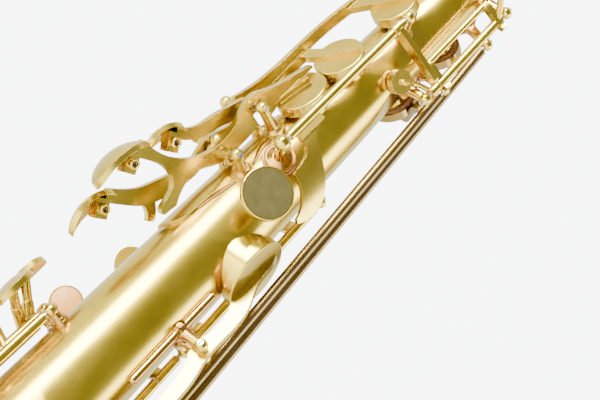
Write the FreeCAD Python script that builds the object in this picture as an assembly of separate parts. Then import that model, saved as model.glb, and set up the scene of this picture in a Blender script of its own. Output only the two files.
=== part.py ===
"""Straight soprano saxophone, in millimetres.

+Z runs along the bore from the bell rim (z = 0) to the mouthpiece.  The finger pearls face -Y and
the thumb rest faces +Y.  Angles are in degrees about Z, counted from +X, the player's left.
"""
import FreeCAD, Part
import os
from math import atan2, cos, degrees, radians, sin, sqrt, tan

V = FreeCAD.Vector
UP = V(0, 0, 1)

# ---- Body cone ----
APEX_Z = 790.0
CONE_SLOPE = tan(radians(1.74))
WALL = 0.6
BELL_JOINT_Z = 52.0
BODY_TOP_Z = 592.0

# ---- Bell ----
BELL_RIM_R = 46.0
BELL_FLARE_POWER = 2.7
BELL_ROLL_R = 1.6
BELL_RING_HEIGHT = 6.0
BELL_RING_THICKNESS = 1.2
BELL_PROFILE_STEPS = 9

# ---- Neck, cork, mouthpiece ----
RECEIVER_Z = 576.0
RECEIVER_SKIRT = 4.0
RECEIVER_WALL = 1.9
TENON_R = 7.4
SOCKET_GAP = 0.04
NECK_COLLAR_R = 9.9
NECK_COLLAR_HEIGHT = 3.6
NECK_TIP_Z = 638.0
CORK_START_Z = 613.0
CORK_R = 6.6
SHANK_BORE_GAP = 0.05
MOUTHPIECE_START_Z = 620.0
MOUTHPIECE_TIP_Z = 692.0
MOUTHPIECE_R = 9.4
CHAMBER_R = 5.8
LIGATURE_GAP = 0.1

# ---- Key work ----
ROD_R = 0.8
ROD_FIT = 0.05
TUBE_R = 1.35
BALL_R = 1.75
STEM_TOP_R = 1.25
STEM_FOOT_R = 1.75
FOOT_R = 3.0
FOOT_HEIGHT = 1.0
CHIMNEY_WALL = 0.6
CHIMNEY_RISE = 1.0
CUP_MARGIN = 2.2
CUP_HEIGHT = 2.9
CUP_WALL = 0.6
PAD_GAP = 0.12
ARM_THICKNESS = 1.6
ARM_WIDTH = 3.6
PEARL_R = 4.6
PEARL_HEIGHT = 2.2
SLOT_WIDTH = 0.4
SLOT_DEPTH = 0.5

# ---- Tone holes: name -> (angle, z, diameter) ----
TONE_HOLES = {
    "c_vent": (-90, 452.0, 8.0),
    "b": (-90, 431.0, 10.0),
    "bis": (-90, 414.0, 7.0),
    "a": (-90, 398.0, 12.6),
    "g": (-90, 374.0, 16.0),
    "gs": (-64, 351.0, 14.0),
    "fs": (-90, 328.0, 18.0),
    "f": (-90, 303.0, 19.4),
    "e": (-90, 276.0, 20.5),
    "d": (-90, 248.0, 22.6),
    "low_eb": (-92, 219.0, 22.6),
    "low_c": (-92, 188.0, 26.6),
    "low_cs": (-54, 155.0, 24.6),
    "low_b": (-48, 117.0, 30.6),
    "low_bb": (-34, 80.0, 31.0),
    "side_c": (150, 429.6, 15.4),
    "side_bb": (124, 367.0, 12.6),
    "palm_d": (34, 473.5, 10.5),
    "palm_eb": (36, 488.5, 10.0),
    "palm_f": (35, 511.5, 9.0),
    "high_e": (-140, 499.0, 10.0),
    "high_fs": (-140, 520.0, 8.6),
}

# ---- How far the open keys stand off, in degrees about their rods ----
STACK_LIFT = -10.0
LOW_KEY_LIFT = 13.0


# ---- How far the open keys stand off, in degrees about their rods ----
LUG_ANGLE = 90
LUG_Z = 585.5
LUG_REACH = 17.2
LUG_SCREW_R = 14.4
NECK_SCREW_R = 1.3
# Octave vents: (angle, z); the pip is pressed into a hole of VENT_PIP_R in the body.
OCTAVE_VENTS = [(112, 494.5), (100, 566.0)]
VENT_PIP_R = 1.8
VENT_RISE = 2.0
VENT_BORE_R = 0.8

# ---- Palm keys: three rockers over one soldered plate ----
PALM_ANGLE = 25
PALM_PLATE_THICKNESS = 0.8
PALM_LEVER = 2.2
D_PIVOT = (16.6, 446.0)
EB_PIVOT = (17.8, 448.4)
F_PIVOT = (18.9, 461.0)
D_PLANE = -0.2
EB_PLANE = -7.0
F_TOUCH_PLANE = -4.3
F_CUP_PLANE = -8.9
D_NEAR_POST = 7.5
F_NEAR_POST = 3.4
SHARED_POST = -3.5
FAR_POST = -13.4

# ---- Octave key on the back ----
OCTAVE_ANGLE = 72
OCTAVE_HEIGHT = 9.5
OCTAVE_Z = (455.0, 506.5)
TOUCH_SHELL_R = 19.6
TOUCH_SHELL_THICKNESS = 1.3
TOUCH_VIEW_ANGLE = 100
OCTAVE_ARM_Z = 501.6
ROCKER_ANGLE = 145

# ---- Side keys ----
SIDE_ANGLE = 150
SIDE_C_PIVOT = (19.2, 405.4)
LEVER_PIVOT = (19.0, 304.0)
SIDE_NEAR = -3.0
SIDE_FAR = 3.8
SIDE_C_PLANE = 0.4
SIDE_BB_ANGLE = 124
SIDE_RAIL_ANGLE = 134

# ---- Finger stacks on the front ----
STACK_ANGLE = -152
STACK_HEIGHT = 5.5

# ---- Low keys ----
TABLE_REACH = 29.0
GUARD_ANGLE = -41
GUARD_FELT_Z = (80.0, 116.0)

# ---- Thumb pieces and strap ring on the back ----
BACK = 90
THUMB_REST_Z = 443.0
THUMB_REST_R = 7.0
THUMB_REST_TOP = 8.0
HOOK_Z = 290.0
STRAP_Z = 345.0
STRAP_HOLE_R = 4.5
STRAP_RING_R = 6.6
STRAP_RING_WIDTH = 2.6

# ---- Neck and mouthpiece ----
TABLE_Y = 6.9
REED_THICKNESS = 2.7
REED_HEEL_Z = 644.0
SHANK_DEPTH = 20.0
LIGATURE_Z = (646.0, 661.0)


# ======================= small geometry helpers =======================

def outer_radius(z):
    """Outer radius of the conical body at height z."""
    return (APEX_Z - z) * CONE_SLOPE + WALL


def out(theta):
    """Unit vector pointing away from the bore at the given angle."""
    return V(cos(radians(theta)), sin(radians(theta)), 0)


def around(theta):
    """Unit vector along the circumference, towards growing angles."""
    return V(-sin(radians(theta)), cos(radians(theta)), 0)


def polar(theta, r, z):
    return out(theta) * r + UP * z


def cylinder(p, q, r):
    return Part.makeCylinder(r, (q - p).Length, p, q - p)


def cone(p, q, r_start, r_end):
    return Part.makeCone(r_start, r_end, (q - p).Length, p, q - p)


def ring(p, q, r_outer, r_inner):
    return cylinder(p, q, r_outer).cut(cylinder(p, q, r_inner))


def join(shapes):
    """One solid from overlapping shapes."""
    if len(shapes) == 1:
        return shapes[0]
    return shapes[0].multiFuse(shapes[1:]).removeSplitter()


def save(name, shapes):
    """Write one node: its solids, each kept separate."""
    solids = []
    for shape in shapes:
        solids.extend(shape.Solids)
    Part.makeCompound(solids).exportStep("parts/%s.step" % name)
    bad = [s for s in solids if not s.isValid()]
    print("%-20s %2d solids  volume %9.1f  %s" % (name, len(solids), sum(s.Volume for s in solids),
                                                  "INVALID" if bad else ""))


def smooth_edge(points):
    """A straight edge through two points, or a smooth curve through more."""
    if len(points) == 2:
        return Part.LineSegment(points[0], points[1]).toShape()
    curve = Part.BSplineCurve()
    curve.interpolate(points)
    return curve.toShape()


class Sheet:
    """A flat drawing plane: two axes to draw on and a normal to give thickness along."""

    def __init__(self, origin, first, second, normal):
        self.origin = origin
        self.first = first
        self.second = second
        self.normal = normal

    def point(self, a, b, c=0.0):
        return self.origin + self.first * a + self.second * b + self.normal * c

    def blade(self, sides, thickness):
        """Plate whose outline is a ring of sides; each side is smooth through its own points."""
        edges = [smooth_edge([self.point(a, b, -thickness / 2) for a, b in side]) for side in sides]
        return Part.Face(Part.Wire(edges)).extrude(self.normal * thickness)

    def strap(self, path, half_widths, thickness):
        """Plate that follows a centre line, with a half width at each of its points."""
        left = []
        right = []
        for i, (a, b) in enumerate(path):
            before = path[max(i - 1, 0)]
            after = path[min(i + 1, len(path) - 1)]
            da = after[0] - before[0]
            db = after[1] - before[1]
            length = sqrt(da * da + db * db)
            half = half_widths[i] if isinstance(half_widths, (list, tuple)) else half_widths
            left.append((a - db / length * half, b + da / length * half))
            right.append((a + db / length * half, b - da / length * half))
        sides = [left, [left[-1], right[-1]], right[::-1], [right[0], left[0]]]
        return self.blade(sides, thickness)


def box_blade(sheet, a_low, a_high, b_low, b_high, thickness):
    """Plain rectangular plate."""
    corners = [(a_low, b_low), (a_high, b_low), (a_high, b_high), (a_low, b_high)]
    return sheet.blade([[corners[i], corners[(i + 1) % 4]] for i in range(4)], thickness)


def meridian(theta, w=0.0):
    """Plane holding Z, shifted w along the circumference; drawn in (distance out, z)."""
    return Sheet(around(theta) * w, out(theta), UP, around(theta))


def cross(theta, z):
    """Plane square to Z; drawn in (distance out, distance around)."""
    return Sheet(UP * z, out(theta), around(theta), UP)


def facing(theta, n):
    """Plane square to the outward direction, n from the bore; drawn in (around, z)."""
    return Sheet(out(theta) * n, around(theta), UP, out(theta))


def body_cone(offset, z_low, z_high):
    """Solid cone that is the body's outer surface moved out by offset."""
    r_low = outer_radius(z_low) + offset
    r_high = outer_radius(z_high) + offset
    return Part.makeCone(r_low, r_high, z_high - z_low, UP * z_low, UP)


BODY_SOLID = body_cone(0.0, BELL_JOINT_Z - 10, BODY_TOP_Z + 10)


class Rod:
    """A straight hinge rod between two points, with the tubes, posts and arms that sit on it."""

    def __init__(self, start, end):
        self.start = start
        self.end = end
        self.axis = (end - start).normalize()

    def at(self, z):
        """Point of a rod that runs along the body, at height z."""
        share = (z - self.start.z) / (self.end.z - self.start.z)
        return self.start + (self.end - self.start) * share

    def solid(self):
        """The steel rod, ending in a slotted screw head flush with each ball."""
        reach = BALL_R + 0.1
        p = self.start - self.axis * reach
        q = self.end + self.axis * reach
        steel = cylinder(p, q, ROD_R)
        side = self.axis.cross(V(0.3, 0.5, 0.8)).normalize()
        other = self.axis.cross(side)
        for tip, inward in ((p, self.axis), (q, self.axis * -1)):
            sheet = Sheet(tip + inward * (SLOT_DEPTH / 2), side, other, inward)
            half = SLOT_WIDTH / 2
            wide = ROD_R * 2
            steel = steel.cut(box_blade(sheet, -half, half, -wide, wide, SLOT_DEPTH))
        return steel

    def hole(self):
        """What every tube on this rod is bored with."""
        reach = self.axis * 20
        return cylinder(self.start - reach, self.end + reach, ROD_R + ROD_FIT)

    def tube(self, p, q, r=TUBE_R):
        return cylinder(p, q, r)

    def key(self, shapes):
        """Join a key's pieces and bore it for this rod."""
        return join(shapes).cut(self.hole())


def body_rod(theta, height, z_low, z_high):
    """Rod that runs along the body at a constant height above it."""
    return Rod(polar(theta, outer_radius(z_low) + height, z_low),
               polar(theta, outer_radius(z_high) + height, z_high))


def pivot_rod(theta, u, z, w_near, w_far):
    """Short rod across the body, as a rocker key turns on."""
    sheet = meridian(theta)
    return Rod(sheet.point(u, z, w_near), sheet.point(u, z, w_far))


def post(centre, rods, ball_r=BALL_R, foot_r=FOOT_R):
    """Post with a turned foot, a tapered stem and a ball head drilled for its rods."""
    theta = degrees(atan2(centre.y, centre.x))
    surface = outer_radius(centre.z)
    base = polar(theta, surface - 1.5, centre.z)
    top = polar(theta, sqrt(centre.x ** 2 + centre.y ** 2), centre.z)
    shoulder = polar(theta, surface + FOOT_HEIGHT, centre.z)
    bead = polar(theta, surface + FOOT_HEIGHT * 1.8, centre.z)
    pieces = [cylinder(base, shoulder, foot_r),
              cone(shoulder, bead, foot_r * 0.82, STEM_FOOT_R),
              cone(base, top, STEM_FOOT_R + 0.1, STEM_TOP_R),
              Part.makeSphere(ball_r, top)]
    shape = join(pieces).cut(BODY_SOLID)
    for rod in rods:
        reach = rod.axis * 10
        shape = shape.cut(cylinder(rod.start - reach, rod.end + reach, ROD_R))
    return shape


def tone_hole(name):
    return TONE_HOLES[name]


def rim_distance(name):
    """Distance from the bore axis to the flat rim of a chimney."""
    return outer_radius(TONE_HOLES[name][1]) + CHIMNEY_RISE


def cup(name):
    """Pad cup, closed on its chimney: a shallow round shell with an eased edge."""
    theta, z, diameter = TONE_HOLES[name]
    r = diameter / 2 + CUP_MARGIN
    floor = rim_distance(name) + 0.35
    shell = cylinder(polar(theta, floor, z), polar(theta, floor + CUP_HEIGHT, z), r)
    top_edges = [e for e in shell.Edges
                 if e.Closed and abs(e.CenterOfMass.dot(out(theta)) - floor - CUP_HEIGHT) < 0.01]
    shell = shell.makeFillet(0.5, top_edges)
    hollow = cylinder(polar(theta, floor - 1, z), polar(theta, floor + CUP_HEIGHT - CUP_WALL, z),
                      r - CUP_WALL)
    return shell.cut(hollow)


def cup_top(name):
    return rim_distance(name) + 0.35 + CUP_HEIGHT


def pad(name):
    """Leather pad that fills a cup and meets its chimney."""
    theta, z, diameter = TONE_HOLES[name]
    r = diameter / 2 + CUP_MARGIN - CUP_WALL
    floor = rim_distance(name) + PAD_GAP
    top = cup_top(name) - CUP_WALL
    return cylinder(polar(theta, floor, z), polar(theta, top, z), r)


def dome(centre, normal, lengthwise, half_length, half_width, radius, thickness):
    """Domed oval touch: a piece of a spherical shell with an oval outline."""
    normal = normal.normalize()
    widthwise = normal.cross(lengthwise).normalize()
    lengthwise = widthwise.cross(normal).normalize()
    hub = centre - normal * radius
    shell = Part.makeSphere(radius, hub).cut(Part.makeSphere(radius - thickness, hub))
    base = hub + normal * (radius * 0.3)
    oval = Part.Ellipse(base + lengthwise * half_length, base + widthwise * half_width, base)
    prism = Part.Face(Part.Wire([oval.toShape()])).extrude(normal * radius)
    return shell.common(prism)


def turned(shape, rod, angle):
    """The shape turned about a rod, by the right-hand rule about the rod's axis."""
    copy = shape.copy()
    copy.rotate(rod.start, rod.axis, angle)
    return copy


# ============================ fixed pieces ============================

def make_body_tube():
    z_low, z_high = BELL_JOINT_Z, RECEIVER_Z
    shape = body_cone(0.0, z_low, z_high)
    chimneys = []
    holes = [body_cone(-WALL, z_low - 5, z_high + 5)]
    for name, (theta, z, diameter) in TONE_HOLES.items():
        rim = polar(theta, rim_distance(name), z)
        chimneys.append(cylinder(polar(theta, 0, z), rim, diameter / 2 + CHIMNEY_WALL))
        holes.append(cylinder(polar(theta, 0, z), polar(theta, rim_distance(name) + 1, z), diameter / 2))
    for theta, z in OCTAVE_VENTS:
        holes.append(cylinder(polar(theta, 0, z), polar(theta, outer_radius(z) + 1, z), VENT_PIP_R))
    shape = shape.multiFuse(chimneys)
    for cutter in holes:
        shape = shape.cut(cutter)
    return shape


def bell_radius(z):
    """Outer radius of the bell, which leaves the cone and flares towards the rim."""
    flare = BELL_RIM_R - outer_radius(0)
    return outer_radius(z) + flare * (1 - z / BELL_JOINT_Z) ** BELL_FLARE_POWER


def make_bell():
    steps = [BELL_JOINT_Z * i / (BELL_PROFILE_STEPS - 1) for i in range(BELL_PROFILE_STEPS)]
    outside = [V(bell_radius(z), 0, z) for z in steps]
    inside = [V(bell_radius(z) - WALL, 0, z) for z in steps]
    edges = [smooth_edge(outside), smooth_edge([outside[-1], inside[-1]]),
             smooth_edge(inside[::-1]), smooth_edge([inside[0], outside[0]])]
    shell = Part.Face(Part.Wire(edges)).revolve(V(0, 0, 0), UP, 360)
    roll = Part.makeTorus(BELL_RIM_R, BELL_ROLL_R, UP * (BELL_ROLL_R - 0.15), UP)
    roll = roll.cut(Part.makeCylinder(BELL_RIM_R * 2, 5, UP * -5, UP))
    return join([shell, roll])


def make_bell_ring():
    z_low = BELL_JOINT_Z - BELL_RING_HEIGHT / 2
    z_high = BELL_JOINT_Z + BELL_RING_HEIGHT / 2
    band = body_cone(BELL_RING_THICKNESS, z_low, z_high)
    lip_low = body_cone(BELL_RING_THICKNESS + 0.5, z_low, z_low + 1.2)
    lip_high = body_cone(BELL_RING_THICKNESS + 0.5, z_high - 1.2, z_high)
    bell_side = Part.makeCylinder(60, BELL_JOINT_Z - z_low + 2, UP * (z_low - 2), UP)
    ring_shape = join([band, lip_low, lip_high]).cut(BODY_SOLID)
    steps = [BELL_JOINT_Z - 5 + 5 * i / 4 for i in range(5)]
    outside = [V(bell_radius(z), 0, z) for z in steps]
    edges = [smooth_edge(outside), smooth_edge([outside[-1], UP * steps[-1]]),
             smooth_edge([UP * steps[-1], UP * steps[0]]), smooth_edge([UP * steps[0], outside[0]])]
    core = Part.Face(Part.Wire(edges)).revolve(V(0, 0, 0), UP, 360)
    return ring_shape.cut(core.common(bell_side))


def make_neck_receiver():
    """Socket on top of the body, split at the back and closed by the clamp screw's two lugs."""
    outer = TENON_R + RECEIVER_WALL
    foot = RECEIVER_Z - RECEIVER_SKIRT
    socket = cylinder(UP * foot, UP * BODY_TOP_Z, outer)
    bead_low = cylinder(UP * foot, UP * (foot + 2), outer + 0.8)
    bead_high = cylinder(UP * (BODY_TOP_Z - 2), UP * BODY_TOP_Z, outer + 0.8)
    lug = box_blade(meridian(LUG_ANGLE), outer - 1, LUG_REACH, LUG_Z - 3.2, LUG_Z + 3.2, 6.4)
    shape = join([socket, bead_low, bead_high, lug])
    shape = shape.cut(cylinder(UP * RECEIVER_Z, UP * (BODY_TOP_Z + 1), TENON_R + SOCKET_GAP))
    shape = shape.cut(body_cone(0, foot - 5, RECEIVER_Z + 0.5))
    slit = box_blade(meridian(LUG_ANGLE), TENON_R - 1, LUG_REACH + 1, RECEIVER_Z + 4, BODY_TOP_Z + 1, 0.8)
    centre = polar(LUG_ANGLE, LUG_SCREW_R, LUG_Z)
    side = around(LUG_ANGLE)
    bore = cylinder(centre - side * 9, centre + side * 9, NECK_SCREW_R + ROD_FIT)
    return shape.cut(slit).cut(bore)


def make_neck_screw():
    """Thumb screw through the receiver's lugs."""
    centre = polar(LUG_ANGLE, LUG_SCREW_R, LUG_Z)
    side = around(LUG_ANGLE)
    shank = cylinder(centre - side * 3.6, centre + side * 3.4, NECK_SCREW_R)
    collar = cylinder(centre + side * 3.4, centre + side * 4.6, 2.6)
    wing = Sheet(centre + side * 8.8, side, UP, out(LUG_ANGLE)).blade(
        [[(-4.2, 1.4), (-1.5, 3.6), (2.0, 4.4), (4.2, 0.0), (2.0, -4.4), (-1.5, -3.6), (-4.2, -1.4)],
         [(-4.2, -1.4), (-4.2, 1.4)]], 1.6)
    return join([shank, collar, wing])


def make_vent_pips():
    pips = []
    for theta, z in OCTAVE_VENTS:
        surface = outer_radius(z)
        stem = cylinder(polar(theta, surface - WALL - 2, z), polar(theta, surface + VENT_RISE, z),
                        VENT_PIP_R)
        collar = cylinder(polar(theta, surface - 1.0, z), polar(theta, surface + 0.8, z), VENT_PIP_R + 1.2)
        pip = stem.fuse(collar.cut(BODY_SOLID)).removeSplitter()
        pips.append(pip.cut(cylinder(polar(theta, 0, z), polar(theta, surface + 9, z), VENT_BORE_R)))
    return pips


def vent_cup(theta, z):
    """Small cup, closed on an octave pip."""
    floor = outer_radius(z) + VENT_RISE + PAD_GAP
    shell = cylinder(polar(theta, floor + 0.3, z), polar(theta, floor + 2.4, z), 3.4)
    hollow = cylinder(polar(theta, floor - 1, z), polar(theta, floor + 1.8, z), 2.9)
    return shell.cut(hollow)


# ---- Palm keys: three rockers over one soldered plate ----

D_ROD = pivot_rod(PALM_ANGLE, D_PIVOT[0], D_PIVOT[1], D_NEAR_POST, SHARED_POST)
EB_ROD = pivot_rod(PALM_ANGLE, EB_PIVOT[0], EB_PIVOT[1], SHARED_POST, FAR_POST)
F_ROD = pivot_rod(PALM_ANGLE, F_PIVOT[0], F_PIVOT[1], F_NEAR_POST, FAR_POST)


def make_palm_mount():
    """Thin plate soldered to the body, with the palm keys' posts standing on it."""
    sheet = facing(PALM_ANGLE, 0)
    right = [(-1.0, 423.0), (2.6, 427.0), (3.4, 436.0), (5.4, 443.0), (5.0, 449.5), (2.2, 456.0),
             (2.8, 463.0),
             (0.5, 467.0)]
    outline = sheet.blade([right, [right[-1], (-8.5, 467.0)], [(-8.5, 467.0), (-8.5, 423.0)],
                           [(-8.5, 423.0), right[0]]], 60)
    skin = body_cone(PALM_PLATE_THICKNESS, 420, 470).cut(body_cone(0, 415, 475))
    plate = skin.common(outline).common(Part.makeBox(80, 80, 80, V(0, -30, 410)))
    posts = [post(D_ROD.start, [D_ROD]), post(EB_ROD.end, [EB_ROD]), post(F_ROD.start, [F_ROD]),
             post(F_ROD.end, [F_ROD])]
    head = post(EB_ROD.start, [D_ROD, EB_ROD])
    lobe = Part.makeSphere(BALL_R, D_ROD.end).fuse(cylinder(D_ROD.end, EB_ROD.start, 1.3))
    for rod in (D_ROD, EB_ROD):
        reach = rod.axis * 10
        lobe = lobe.cut(cylinder(rod.start - reach, rod.end + reach, ROD_R))
    return join([plate] + posts + [head.fuse(lobe)])


def palm_socket(sheet, u, z, tilt):
    """Square block under a touch, with the small tube that carries its adjuster."""
    lean = radians(tilt)
    a = V(cos(lean), 0, sin(lean))
    corners = []
    for x, y in ((-2.6, -1.7), (2.6, -1.7), (2.6, 1.7), (-2.6, 1.7)):
        corners.append((u + x * a.x - y * a.z, z + x * a.z + y * a.x))
    sides = [[corners[i], corners[(i + 1) % 4]] for i in range(4)]
    block = sheet.blade(sides, 3.6)
    near = sheet.point(u, z, 1.7)
    return block, ring(near, near + sheet.normal * 0.9, 1.25, 0.7), cylinder(near - sheet.normal,
                                                                             near + sheet.normal, 0.7)


def palm_touch(sheet, low_end, high_end, rise, side_tilt, half_width):
    """Spoon-shaped touch between two ends of its long axis, domed outwards."""
    low = sheet.point(*low_end)
    high = sheet.point(*high_end)
    lengthwise = (high - low)
    half = lengthwise.Length / 2
    lengthwise.normalize()
    normal = (sheet.normal.cross(lengthwise) * -1)
    if normal.dot(sheet.first) < 0:
        normal = normal * -1
    normal = (normal + sheet.normal * side_tilt).normalize()
    radius = (half * half + rise * rise) / (2 * rise)
    centre = (low + high) * 0.5 + normal * rise
    return dome(centre, normal, lengthwise, half, half_width, radius, 1.3)


def make_palm_d_key():
    sheet = meridian(PALM_ANGLE, D_PLANE)
    outline = [
        [(34.4, 430.4), (28.4, 432.2), (25.4, 434.1), (22.7, 436.7), (20.4, 440.0), (19.0, 443.8),
         (18.7, 447.8),
         (19.2, 452.0), (20.6, 456.0), (21.9, 459.5), (22.1, 462.5), (20.9, 465.4), (18.9, 470.5), (17.4,
                                                                                                    477.0),
         (16.3, 481.2)],
        [(16.3, 481.2), (15.6, 481.2)],
        [(15.6, 481.2), (15.7, 467.2)],
        [(15.7, 467.2), (14.7, 465.6), (14.4, 463.1)],
        [(14.4, 463.1), (20.2, 463.1)],
        [(20.2, 463.1), (20.2, 458.9)],
        [(20.2, 458.9), (14.8, 458.9)],
        [(14.8, 458.9), (14.3, 455.0), (14.2, 450.0), (14.4, 446.0), (15.6, 441.8), (17.3, 438.6),
         (18.0, 435.7),
         (17.5, 432.7), (16.3, 429.7), (14.9, 427.5)],
        [(14.9, 427.5), (15.4, 423.4)],
        [(15.4, 423.4), (16.6, 423.2), (18.2, 427.0), (19.6, 429.9), (21.4, 431.0), (24.4, 431.0),
         (28.1, 429.3),
         (33.9, 425.2)],
        [(33.9, 425.2), (34.4, 430.4)],
    ]
    lever = sheet.blade(outline, PALM_LEVER)
    touch = palm_touch(sheet, (34.6, 413.6), (33.6, 431.0), 3.2, -0.15, 4.9)
    block, tube_ring, tube_bore = palm_socket(sheet, 32.2, 424.2, 55)
    near = sheet.point(D_PIVOT[0], D_PIVOT[1], 5.4)
    far = sheet.point(D_PIVOT[0], D_PIVOT[1], -1.25)
    collar = cylinder(sheet.point(D_PIVOT[0], D_PIVOT[1], 0), sheet.point(D_PIVOT[0], D_PIVOT[1], 1.7),
                      TUBE_R + 0.25)
    name = "palm_d"
    theta, z, _ = tone_hole(name)
    reach = facing(theta, cup_top(name) + 0.3).strap(
        [(-2.9, z - 6.0), (-2.5, z - 2.0), (-1.2, z + 1.2), (0.4, z + 3.8)], [1.3, 1.6, 1.3, 0.3], 2.4)
    shape = join([lever, touch, block, tube_ring, cup(name), reach, collar, D_ROD.tube(near, far)])
    return shape.cut(tube_bore).cut(D_ROD.hole())


def make_palm_eb_key():
    sheet = meridian(PALM_ANGLE, EB_PLANE)
    path = [(27.0, 416.5), (23.5, 419.8), (20.2, 423.6), (18.0, 428.5), (16.4, 434.0), (15.6, 440.0),
            (17.0, 447.0),
            (16.0, 453.0), (15.3, 461.0), (15.6, 470.0), (15.9, 480.0), (15.9, 486.0)]
    lever = sheet.strap(path, [1.9, 2.0, 2.4, 2.6, 2.2, 1.9, 1.9, 1.5, 1.0, 1.3, 1.4, 1.4], 1.8)
    leg = sheet.strap([(20.5, 423.5), (17.5, 424.5), (15.0, 423.6), (13.2, 421.8)], [2.0, 1.7, 1.3, 1.1],
                      1.8)
    touch = palm_touch(sheet, (26.8, 403.2), (26.6, 418.8), 2.9, -0.7, 4.7)
    block, tube_ring, tube_bore = palm_socket(sheet, 25.6, 413.4, 50)
    tube = EB_ROD.tube(sheet.point(EB_PIVOT[0], EB_PIVOT[1], 1.55),
                       sheet.point(EB_PIVOT[0], EB_PIVOT[1], -3.6))
    name = "palm_eb"
    theta, z, _ = tone_hole(name)
    reach = facing(theta, cup_top(name) + 0.3).strap(
        [(-10.3, z - 3.4), (-7.4, z - 2.9), (-3.5, z - 1.2), (1.0, z + 1.2), (4.8, z + 3.4)],
        [1.9, 1.8, 1.6, 1.1, 0.25], 1.9)
    shape = join([lever, leg, touch, block, tube_ring, tube, reach, cup(name)])
    return shape.cut(tube_bore).cut(EB_ROD.hole())


def make_palm_f_key():
    sheet = meridian(PALM_ANGLE, F_TOUCH_PLANE)
    path = [(27.4, 440.6), (24.6, 443.2), (22.9, 446.6), (21.9, 451.0), (20.5, 456.0), (18.9, 461.0)]
    lever = sheet.strap(path, [1.7, 1.6, 1.7, 1.9, 2.0, 2.2], 1.8)
    touch = palm_touch(sheet, (30.0, 430.8), (27.4, 443.2), 2.4, -0.7, 3.7)
    block, tube_ring, tube_bore = palm_socket(sheet, 26.4, 438.0, 50)
    near = meridian(PALM_ANGLE).point(F_PIVOT[0], F_PIVOT[1], -1.9)
    far = meridian(PALM_ANGLE).point(F_PIVOT[0], F_PIVOT[1], -10.6)
    cup_sheet = meridian(PALM_ANGLE, F_CUP_PLANE)
    arm = cup_sheet.strap([(18.9, 461.0), (17.9, 468.0), (17.2, 478.0), (17.0, 490.0), (16.2, 502.0),
                           (15.2, 509.0)],
                          [2.2, 1.7, 1.5, 1.5, 1.5, 1.5], 1.7)
    name = "palm_f"
    theta, z, _ = tone_hole(name)
    reach = facing(theta, cup_top(name) + 0.3).strap(
        [(-12.6, z - 6.0), (-9.5, z - 4.0), (-4.0, z - 1.2), (0.5, z + 1.0), (4.4, z + 3.2)],
        [1.9, 1.8, 1.6, 1.1, 0.25], 1.9)
    shape = join([lever, touch, block, tube_ring, F_ROD.tube(near, far), arm, reach, cup(name)])
    return shape.cut(tube_bore).cut(F_ROD.hole())


# ---- Octave key on the back ----
OCTAVE_ROD = body_rod(OCTAVE_ANGLE, OCTAVE_HEIGHT, OCTAVE_Z[0], OCTAVE_Z[1])

ROCKER_ROD = Rod(polar(ROCKER_ANGLE, 16.4, 498.0), polar(ROCKER_ANGLE, 15.9, 534.6))
UPPER_VENT_ROD = pivot_rod(100, 13.6, 551.0, -4.6, 4.6)


def make_octave_posts():
    lower = post(OCTAVE_ROD.start, [OCTAVE_ROD], ball_r=2.2, foot_r=4.2)
    upper = post(OCTAVE_ROD.end, [OCTAVE_ROD], foot_r=2.4)
    return [lower, upper] + [post(p, [ROCKER_ROD]) for p in (ROCKER_ROD.start, ROCKER_ROD.end)] + \
           [post(p, [UPPER_VENT_ROD]) for p in (UPPER_VENT_ROD.start, UPPER_VENT_ROD.end)]


def make_octave_thumb_key():
    """Crescent touch round the thumb rest, a long tube, and the arm that works the rocker."""
    def at_angle(theta, z):
        return (TOUCH_SHELL_R * sin(radians(theta - TOUCH_VIEW_ANGLE)), z)
    outer_side = [at_angle(72, 468.4), at_angle(78, 467.6), at_angle(82, 464.6), at_angle(88, 462.4),
                  at_angle(97, 460.6), at_angle(108, 458.6), at_angle(119, 456.2), at_angle(127, 453.2),
                  at_angle(130, 450.0), at_angle(128.5, 446.8), at_angle(124.5, 444.2)]
    inner_side = [at_angle(120.5, 444.6), at_angle(117, 447.2), at_angle(110, 449.4), at_angle(102, 450.8),
                  at_angle(94.5, 451.4)]
    bay = [at_angle(94.5, 451.4), at_angle(92.5, 454.0), at_angle(91, 457.0), at_angle(87, 458.8),
           at_angle(80, 459.4), at_angle(72, 459.2)]
    sides = [outer_side, [outer_side[-1], inner_side[0]], inner_side, bay, [bay[-1], outer_side[0]]]
    prism = facing(TOUCH_VIEW_ANGLE, 15).blade(sides, 30)
    shell = cylinder(UP * 440, UP * 472, TOUCH_SHELL_R).cut(
        cylinder(UP * 440, UP * 472, TOUCH_SHELL_R - TOUCH_SHELL_THICKNESS))
    crescent = shell.common(prism)
    tube = OCTAVE_ROD.tube(OCTAVE_ROD.at(457.6), OCTAVE_ROD.at(504.4))
    web = cross(OCTAVE_ANGLE, 463.8).strap([(19.6, -0.4), (19.3, 3.0)], 0.7, 8.6)
    tube_end = OCTAVE_ROD.at(OCTAVE_ARM_Z)
    arm_end = polar(128.5, 17.2, OCTAVE_ARM_Z)
    sheet = Sheet(UP * OCTAVE_ARM_Z, V(1, 0, 0), V(0, 1, 0), UP)
    middle = (tube_end + arm_end) * 0.5
    arm = sheet.strap([(tube_end.x, tube_end.y), (middle.x, middle.y + 0.3), (arm_end.x, arm_end.y)],
                      [1.9, 1.7, 1.5], 1.6)
    tip = cylinder(arm_end - UP * 0.8, arm_end + UP * 0.8, 1.3)
    clamp = cylinder(OCTAVE_ROD.at(OCTAVE_ARM_Z - 1.6), OCTAVE_ROD.at(OCTAVE_ARM_Z + 1.4), TUBE_R + 0.5)
    return OCTAVE_ROD.key([tube, web, crescent, arm, tip, clamp])


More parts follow.
